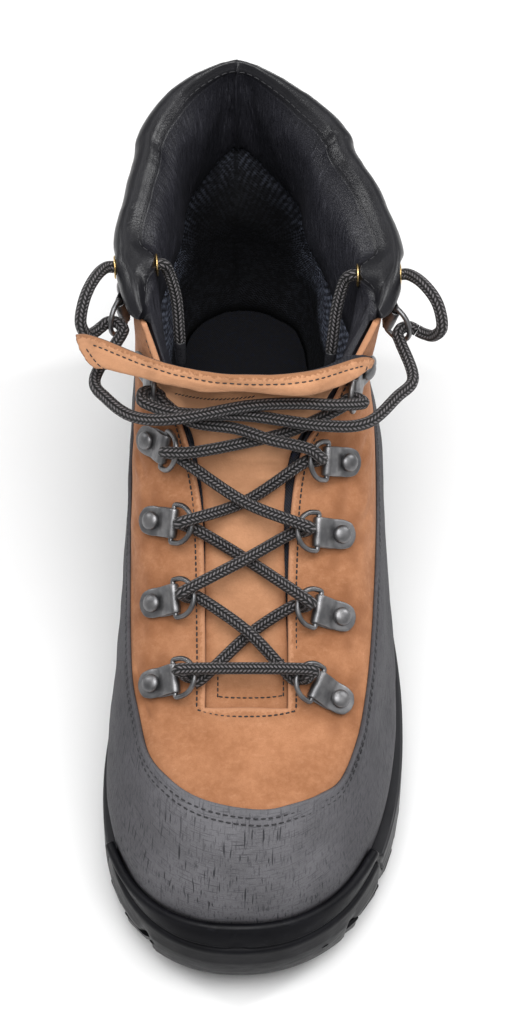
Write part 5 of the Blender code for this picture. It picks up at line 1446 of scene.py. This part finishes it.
def nubuck():
    """Tan nubuck: mottled colour, short nap, lighter raw edge; its tone paints shade round the rings, in their folds
    and near the tongue's sides and bottom, and paints light on the tongue.
    """
    m = Nodes("tan_nubuck", Sheen_Weight=0.05, Sheen_Roughness=0.5, Specular_IOR_Level=0.15)
    mottle, nap = m.noise(420.0, 4.0, 0.7), m.noise(2400.0, 3.0, 0.7)
    m.ramp(m.noise(85.0, 5.0, 0.68), (0.28, (0.310, 0.134, 0.062)), (0.50, (0.385, 0.175, 0.086)),
           (0.74, (0.445, 0.212, 0.110)))
    m.over(m.between(m.noise(24.0, 3.0, 0.6), 0.35, 0.62, 0.55, 0.0), (0.255, 0.104, 0.045))
    m.over(m.between(mottle, 0.38, 0.70, 0.0, 0.24), (0.56, 0.270, 0.142))
    rub = m.noise((190.0, 620.0, 400.0), 3.0, 0.6, turn=0.5)
    m.over(m.between(rub, 0.56, 0.72, 0.0, 0.18), (0.58, 0.31, 0.18))
    m.over(m.between(nap, 0.45, 0.75, 0.0, 0.40), (0.255, 0.096, 0.038))
    # tone: painted shade where it is positive, painted light where it is negative
    tone = m.attribute("tone")
    # painted light: lighter tan where the tone is negative
    m.over(m.between(tone, -1.7, -0.1, 0.64, 0.0), (0.79, 0.434, 0.244))
    # mask of the painted light on the tongue; it also holds the tongue's smudges and the dark edge of its wing
    painted_light = m.between(tone, -1.0, -0.3, 1.0, 0.0)
    smudge = m.noise((38.0, 90.0, 60.0), 3.0, 0.6)
    m.over(m.times(m.times(painted_light, m.between(smudge, 0.46, 0.62)), 0.36), (0.235, 0.108, 0.052))
    # painted shade: darker where the tone is positive, round the rings, in their folds and near the tongue's sides and
    # bottom
    m.over(m.between(tone, 0.05, 1.0, 0.0, 0.65), (0.205, 0.080, 0.034))
    fray = m.math("ADD", m.attribute("edge"), m.between(m.noise(900.0, 2.0), 0.3, 0.7, -0.6, 0.6))
    m.over(m.between(fray, 0.6, 2.2, 0.65, 0.0), (0.56, 0.285, 0.160))
    m.over(m.times(painted_light, m.between(fray, 0.4, 1.7, 0.75, 0.0)), (0.215, 0.095, 0.042))
    m.bump(nap, 0.40, 0.18)
    m.bump(m.cells(1300.0, "SMOOTH_F1"), 0.25, 0.22)
    m.bump(mottle, 0.35, 0.5)
    return m.finish(m.between(mottle, 0.3, 0.7, 0.95, 0.82))


def grey_leather():
    """Grey embossed rand leather: crossed fine lines, thin dark scratches, smooth border strip, with painted shade
    towards the sole and towards the sides.
    """
    m = Nodes("grey_leather", Specular_IOR_Level=0.22)
    edge = m.attribute("edge")
    away = m.math("ABSOLUTE", m.split_uv()[0])
    cloud = m.noise(60.0, 4.0, 0.6)
    upright, level = (m.noise((u, v, 1.0), 2.0, 0.6, m.uv, 0.03) for u, v in ((140.0, 14.0), (14.0, 140.0)))
    hatch = m.math("MINIMUM", upright, level)
    scratch = m.noise((112.0, 6.5, 1.0), 0.0, 0.5, m.uv, 0.02)
    cut = m.noise((11.0, 130.0, 1.0), 0.0, 0.5, m.uv, -0.02)
    field = m.times(m.between(edge, 8.0, 9.5), m.between(m.noise(45.0, 2.0), 0.40, 0.58, 0.25, 1.0))
    field = m.times(field, m.between(away, 0.6, 1.1, 1.0, 0.0))
    lines = m.math("MAXIMUM", m.between(scratch, 0.26, 0.31, 1.0, 0.0), m.between(cut, 0.22, 0.26, 0.8, 0.0))
    lines = m.times(lines, field)
    m.ramp(cloud, (0.3, (0.094, 0.092, 0.099)), (0.55, (0.126, 0.123, 0.133)), (0.75, (0.152, 0.149, 0.160)))
    m.over(m.between(hatch, 0.34, 0.46, 0.65, 0.0), (0.045, 0.044, 0.050))
    m.over(m.between(m.noise(2600.0, 2.0), 0.5, 0.75, 0.0, 0.4), (0.19, 0.185, 0.195))
    m.over(m.times(lines, 0.9), (0.014, 0.014, 0.017))
    m.over(m.between(edge, 0.2, 2.8, 0.4, 0.0), (0.105, 0.104, 0.112))
    # painted shade: darker towards the sole
    m.over(m.between(m.attribute("low"), 2.0, 75.0, 0.25, 0.0), (0.035, 0.035, 0.042))
    # painted shade: darker towards the sides of the toe and along the quarters
    for near, far in ((0.10, 0.60), (0.75, 1.5)):
        m.over(m.between(away, near, far, 0.0, 0.55), (0.028, 0.027, 0.032))
    m.bump(hatch, 0.7, 0.30)
    m.bump(lines, -0.6, 0.3)
    m.bump(cloud, 0.3, 0.8)
    return m.finish(m.between(hatch, 0.3, 0.6, 0.78, 0.60))


def black_leather():
    """Soft black collar leather: fine grain, small wrinkles that run down the facing, shiny roll; the facing is painted
    lighter as painted light, with painted highlights and painted shade on its wrinkles.
    """
    m = Nodes("black_leather", Specular_IOR_Level=0.38)
    grain, cloud = m.cells(1000.0, "DISTANCE_TO_EDGE"), m.noise(70.0, 3.0)
    facing = m.between(m.attribute("inner"), 0.15, 0.5)
    down = m.noise((30.0, 6.0, 1.0), 2.0, 0.5, m.uv)
    fine = m.noise((105.0, 15.0, 1.0), 3.0, 0.6, m.uv)
    weak, half, faint = (m.between(facing, 0.0, 1.0, least, 1.0) for least in (0.25, 0.5, 0.15))
    m.ramp(cloud, (0.3, (0.005, 0.005, 0.007)), (0.7, (0.010, 0.010, 0.013)))
    # painted light: the facing inside the collar is made lighter than the roll
    m.over(m.times(facing, 0.7), (0.031, 0.031, 0.039))
    m.over(m.between(grain, 0.0, 0.12, 0.6, 0.0), (0.002, 0.002, 0.003))
    # painted shade in the troughs of the small wrinkles
    m.over(m.times(m.times(m.between(fine, 0.33, 0.42, 1.0, 0.0), weak), 0.7), (0.002, 0.002, 0.003))
    # painted highlights on the crests of the facing's wrinkles
    m.over(m.times(m.between(fine, 0.56, 0.70), m.times(facing, 0.5)), (0.085, 0.085, 0.100))
    m.bump(m.times(m.between(grain, 0.0, 0.25), half), 0.36, 0.14)
    m.bump(m.times(fine, weak), 0.5, 0.30)
    m.bump(m.times(down, faint), 0.45, 0.8)
    return m.finish(m.math("ADD", m.between(cloud, 0.3, 0.7, 0.31, 0.39), m.times(facing, 0.04)))


def knitted():
    """Dark knitted lining: zigzag rows with navy and grey threads, with painted shade deeper down inside the boot."""
    m = Nodes("lining_textile", Specular_IOR_Level=0.3)
    u, v = m.split_uv()
    swing = m.math("PINGPONG", m.times(u, UV_UNIT), KNIT_SWING)
    row = m.math("FRACT", m.math("DIVIDE", m.math("ADD", m.times(v, UV_UNIT), swing), KNIT_ROW))
    stripe = m.wave(row, 1.0)
    thread = m.between(m.noise(420.0, 3.0), 0.44, 0.58)
    m.mix(m.between(stripe, 0.35, 0.95), (0.014, 0.014, 0.019), (0.12, 0.13, 0.17))
    m.over(m.times(thread, m.between(stripe, 0.5, 1.0)), (0.42, 0.47, 0.62))
    # painted shade: near black where the dark value is high
    m.over(m.between(m.attribute("dark"), 0.0, 1.0, 0.0, 0.97), (0.003, 0.003, 0.004))
    m.bump(stripe, 0.8, 0.35)
    m.bump(m.wave(u, 2.0 * UV_UNIT / TWIST), 0.25, 0.12)
    m.bump(m.noise(160.0, 3.0), 0.3, 0.6)
    return m.finish(m.between(thread, 0.0, 1.0, 0.92, 0.75))


def textile(name, dark, light, tint):
    """Close woven cloth."""
    m = Nodes(name, Specular_IOR_Level=0.25)
    weave = m.times(*(m.wave(part, 2.0 * UV_UNIT / WEAVE) for part in m.split_uv()))
    fleck = m.noise(800.0, 3.0)
    m.mix(m.between(weave, -0.8, 0.8), dark, light)
    m.over(m.between(fleck, 0.5, 0.7, 0.0, 0.6), tint)
    m.bump(weave, 0.6, 0.22)
    m.bump(fleck, 0.3, 0.2)
    return m.finish(m.between(fleck, 0.3, 0.7, 0.85, 0.98))


def rubber():
    """Moulded black rubber with a faint bloom and scuffs."""
    m = Nodes("black_rubber", Specular_IOR_Level=0.13)
    cloud, scuff = m.noise(55.0, 4.0, 0.6), m.noise((160.0, 160.0, 700.0), 3.0, 0.6)
    m.ramp(cloud, (0.3, (0.003, 0.003, 0.004)), (0.7, (0.007, 0.007, 0.009)))
    m.over(m.between(scuff, 0.58, 0.74, 0.0, 0.3), (0.026, 0.026, 0.031))
    m.bump(m.noise(1900.0, 3.0, 0.7), 0.30, 0.12)
    m.bump(cloud, 0.20, 0.5)
    return m.finish(m.between(scuff, 0.35, 0.65, 0.46, 0.34))


def foam():
    m = Nodes("black_foam", Specular_IOR_Level=0.3)
    cloud = m.noise(80.0, 3.0)
    m.ramp(cloud, (0.3, (0.008, 0.008, 0.010)), (0.7, (0.014, 0.014, 0.017)))
    m.bump(m.noise(1400.0, 2.0), 0.15, 0.08)
    m.bump(cloud, 0.15, 0.4)
    return m.finish(m.between(cloud, 0.3, 0.7, 0.36, 0.50))


def braided():
    """Round braid with a flat sheen: eight strands in opposite slants, with painted highlights and paler glints on
    their crests and painted shade near black in the gaps.
    """
    m = Nodes("black_braid", Specular_IOR_Level=0.32, Sheen_Weight=0.06)
    round_at, along = (m.times(part, UV_UNIT) for part in m.split_uv())
    column, number = m.math("FRACT", round_at), m.math("FLOOR", round_at)
    lean = m.math("SUBTRACT", m.times(m.math("MODULO", number, 2.0), 2.0), 1.0)
    slant = m.times(m.math("SUBTRACT", column, 0.5), m.times(lean, STRAND_SLANT))
    phase = m.math("MODULO", m.times(number, 0.5), 1.0)
    strand = m.math("FRACT", m.math("ADD", m.math("ADD", m.math("DIVIDE", along, STRAND), slant), phase))
    height = m.times(*(m.math("POWER", m.wave(part, 1.0), 0.6) for part in (strand, column)))
    fibre = m.noise((4200.0,) * 3, 2.0, 0.6)
    # painted shade near black in the gaps between strands, painted highlight on their crests
    m.mix(m.between(height, 0.48, 1.0), (0.001, 0.001, 0.001), (0.104, 0.096, 0.100))
    # painted highlights: paler glints on the strands' crests
    glint = m.times(m.between(fibre, 0.46, 0.62), m.between(height, 0.6, 0.95))
    m.over(m.times(glint, 0.5), (0.27, 0.252, 0.260))
    m.bump(height, 0.9, 0.50)
    m.bump(fibre, 0.2, 0.06)
    return m.finish(m.between(fibre, 0.3, 0.7, 0.72, 0.52))


def metal(name, base, light, rough_low, rough_high):
    """Brushed or tumbled metal with fine scratches and worn tone."""
    m = Nodes(name, Metallic=1.0)
    brush, cloud = m.noise((900.0, 900.0, 5200.0), 3.0, 0.7), m.noise(240.0, 3.0)
    m.mix(m.between(cloud, 0.3, 0.7), base, light)
    m.bump(brush, 0.12, 0.05)
    m.bump(cloud, 0.10, 0.15)
    return m.finish(m.between(brush, 0.3, 0.7, rough_low, rough_high))


def sewing_thread():
    m = Nodes("black_thread", Specular_IOR_Level=0.4)
    twist = m.noise((5200.0,) * 3, 2.0, 0.6)
    m.bump(twist, 0.4, 0.1)
    m.mix(m.between(twist, 0.3, 0.7), (0.008, 0.008, 0.010), (0.035, 0.034, 0.038))
    return m.finish(0.6)


def lace_tip():
    m = Nodes("lace_tip", Specular_IOR_Level=0.5)
    cloud = m.noise(900.0, 2.0)
    m.bump(cloud, 0.1, 0.1)
    m.mix(cloud, (0.012, 0.012, 0.014), (0.03, 0.03, 0.034))
    return m.finish(m.between(cloud, 0.3, 0.7, 0.25, 0.4))


def pale():
    m = Nodes("pale_floor", Specular_IOR_Level=0.2)
    m.mix(m.noise(6.0, 2.0), (0.83, 0.83, 0.83), (0.86, 0.86, 0.86))
    return m.finish(0.9)


# ---------------------------------------------------------------- stage
# Area lights: name, place, aim, size, power; in metres and watts.
LIGHTS = (("key", (0.02, -0.42, 1.20), (0.0, -0.11, 0.08), (0.8, 0.8), 13.6),
          ("fill", (0.75, -0.45, 0.95), (0.0, -0.11, 0.08), (0.3, 0.7), 1.0),
          ("left", (-0.95, 0.22, 0.80), (0.0, -0.02, 0.12), (0.12, 0.5), 3.0),
          ("right", (0.95, 0.22, 0.80), (0.0, -0.02, 0.12), (0.12, 0.5), 4.6),
          ("back", (0.0, 0.50, 1.10), (0.0, -0.03, 0.1), (0.8, 0.2), 1.1))
CAMERA_AIM, CAMERA_DISTANCE, CAMERA_TILT, CAMERA_LENS = (0.0058, -0.1085, 0.086), 1.1, math.radians(55.0), 104.06
FLOOR_HALF, FLOOR_MIDDLE, FLOOR_TOP = 2500.0, (9.0, -110.0), -0.3
WORLD_STRENGTH = 0.42


def build_camera():
    data = bpy.data.cameras.new("camera")
    data.lens, data.sensor_width, data.sensor_fit = CAMERA_LENS, 36.0, "AUTO"
    x, y, z = CAMERA_AIM
    where = (x, y - CAMERA_DISTANCE * math.cos(CAMERA_TILT), z + CAMERA_DISTANCE * math.sin(CAMERA_TILT))
    bpy.context.scene.camera = add("camera", data, where, (math.radians(90.0) - CAMERA_TILT, 0.0, 0.0))


def build_stage():
    ticks = np.linspace(-FLOOR_HALF, FLOOR_HALF, 9)
    plan = np.stack(np.meshgrid(ticks, ticks), 2).reshape(-1, 2) + FLOOR_MIDDLE
    floor = make("floor", lifted(plan, FLOOR_TOP), grid_faces(len(ticks), len(ticks)), pale())
    world = bpy.context.scene.world = bpy.data.worlds.new("studio")
    world.use_nodes = True
    inputs = world.node_tree.nodes["Background"].inputs
    inputs["Color"].default_value, inputs["Strength"].default_value = (1.0, 1.0, 1.0, 1.0), WORLD_STRENGTH
    for name, where, aim, size, power in LIGHTS:
        data = bpy.data.lights.new(name, "AREA")
        data.shape, data.energy = "RECTANGLE", power
        data.size, data.size_y = size
        x, y, z = np.subtract(where, aim)
        add(name, data, where, (math.atan2(math.hypot(x, y), z), 0.0, math.atan2(x, -y)))
    bpy.context.scene.view_settings.view_transform = "Standard"


# ---------------------------------------------------------------- assembly
def main():
    build_camera()
    lace = braided()
    build_loops(lace, lace_tip())
    place(tube("lacing_braid", spline(lace_path(), 1050), LACE, lace), "black_braid", "lacing")
    tan = nubuck()
    cloth = textile("tongue_lining", (0.012, 0.012, 0.015), (0.036, 0.036, 0.042), (0.020, 0.028, 0.060))
    place(build_upper(tan), "tan_nubuck", "upper")
    place(build_lining(knitted()), "black_leather")
    place(build_rand(grey_leather()), "grey_leather", "toe_cap_rand")
    collar, sections, facing = build_collar(black_leather())
    place(collar, "black_leather", "collar")
    flap = Tongue()
    tongue = place(build_tongue(flap, [tan, cloth]), "tan_nubuck", "tongue")
    for side in SIDES:
        word = SIDE_WORD[side]
        place(build_gusset(side, "gusset_cloth_" + word, cloth), "black_leather", "gusset_" + word)
    sole = Outline()
    place(build_outsole(rubber(), sole), "black_rubber", "outsole")
    place(build_midsole(foam(), sole), "black_foam", "midsole")
    bed = textile("footbed_textile", (0.005, 0.005, 0.007), (0.013, 0.013, 0.016), (0.010, 0.015, 0.030))
    place(build_insole(bed), "footbed_textile", "insole")
    steel = metal("gunmetal", (0.135, 0.135, 0.14), (0.215, 0.212, 0.216), 0.36, 0.50)
    brass = metal("brass", (0.62, 0.42, 0.16), (0.78, 0.58, 0.28), 0.22, 0.36)
    for ring in RING_PLACES:
        word = "_%s_%d" % (SIDE_WORD[ring[0]], ring[1])
        place(build_clip(ring, "bent_clip" + word, steel), "gunmetal", "ring_clip" + word)
        place(build_ring(ring, "wire_ring" + word, steel), "gunmetal", "d_ring" + word)
        place(build_rivet(ring, "domed_rivet" + word, steel), "gunmetal", "rivet" + word)
    for side in SIDES:
        place(build_eyelet(side, "brass_eyelet_" + SIDE_WORD[side], brass), "brass", "eyelet_" + SIDE_WORD[side])
    seams = throat_seam() + rand_seams() + collar_seam(sections, facing) + tongue_seams(flap)
    place(build_stitches("stitches", seams, sewing_thread()), "black_leather")
    build_stage()


main()
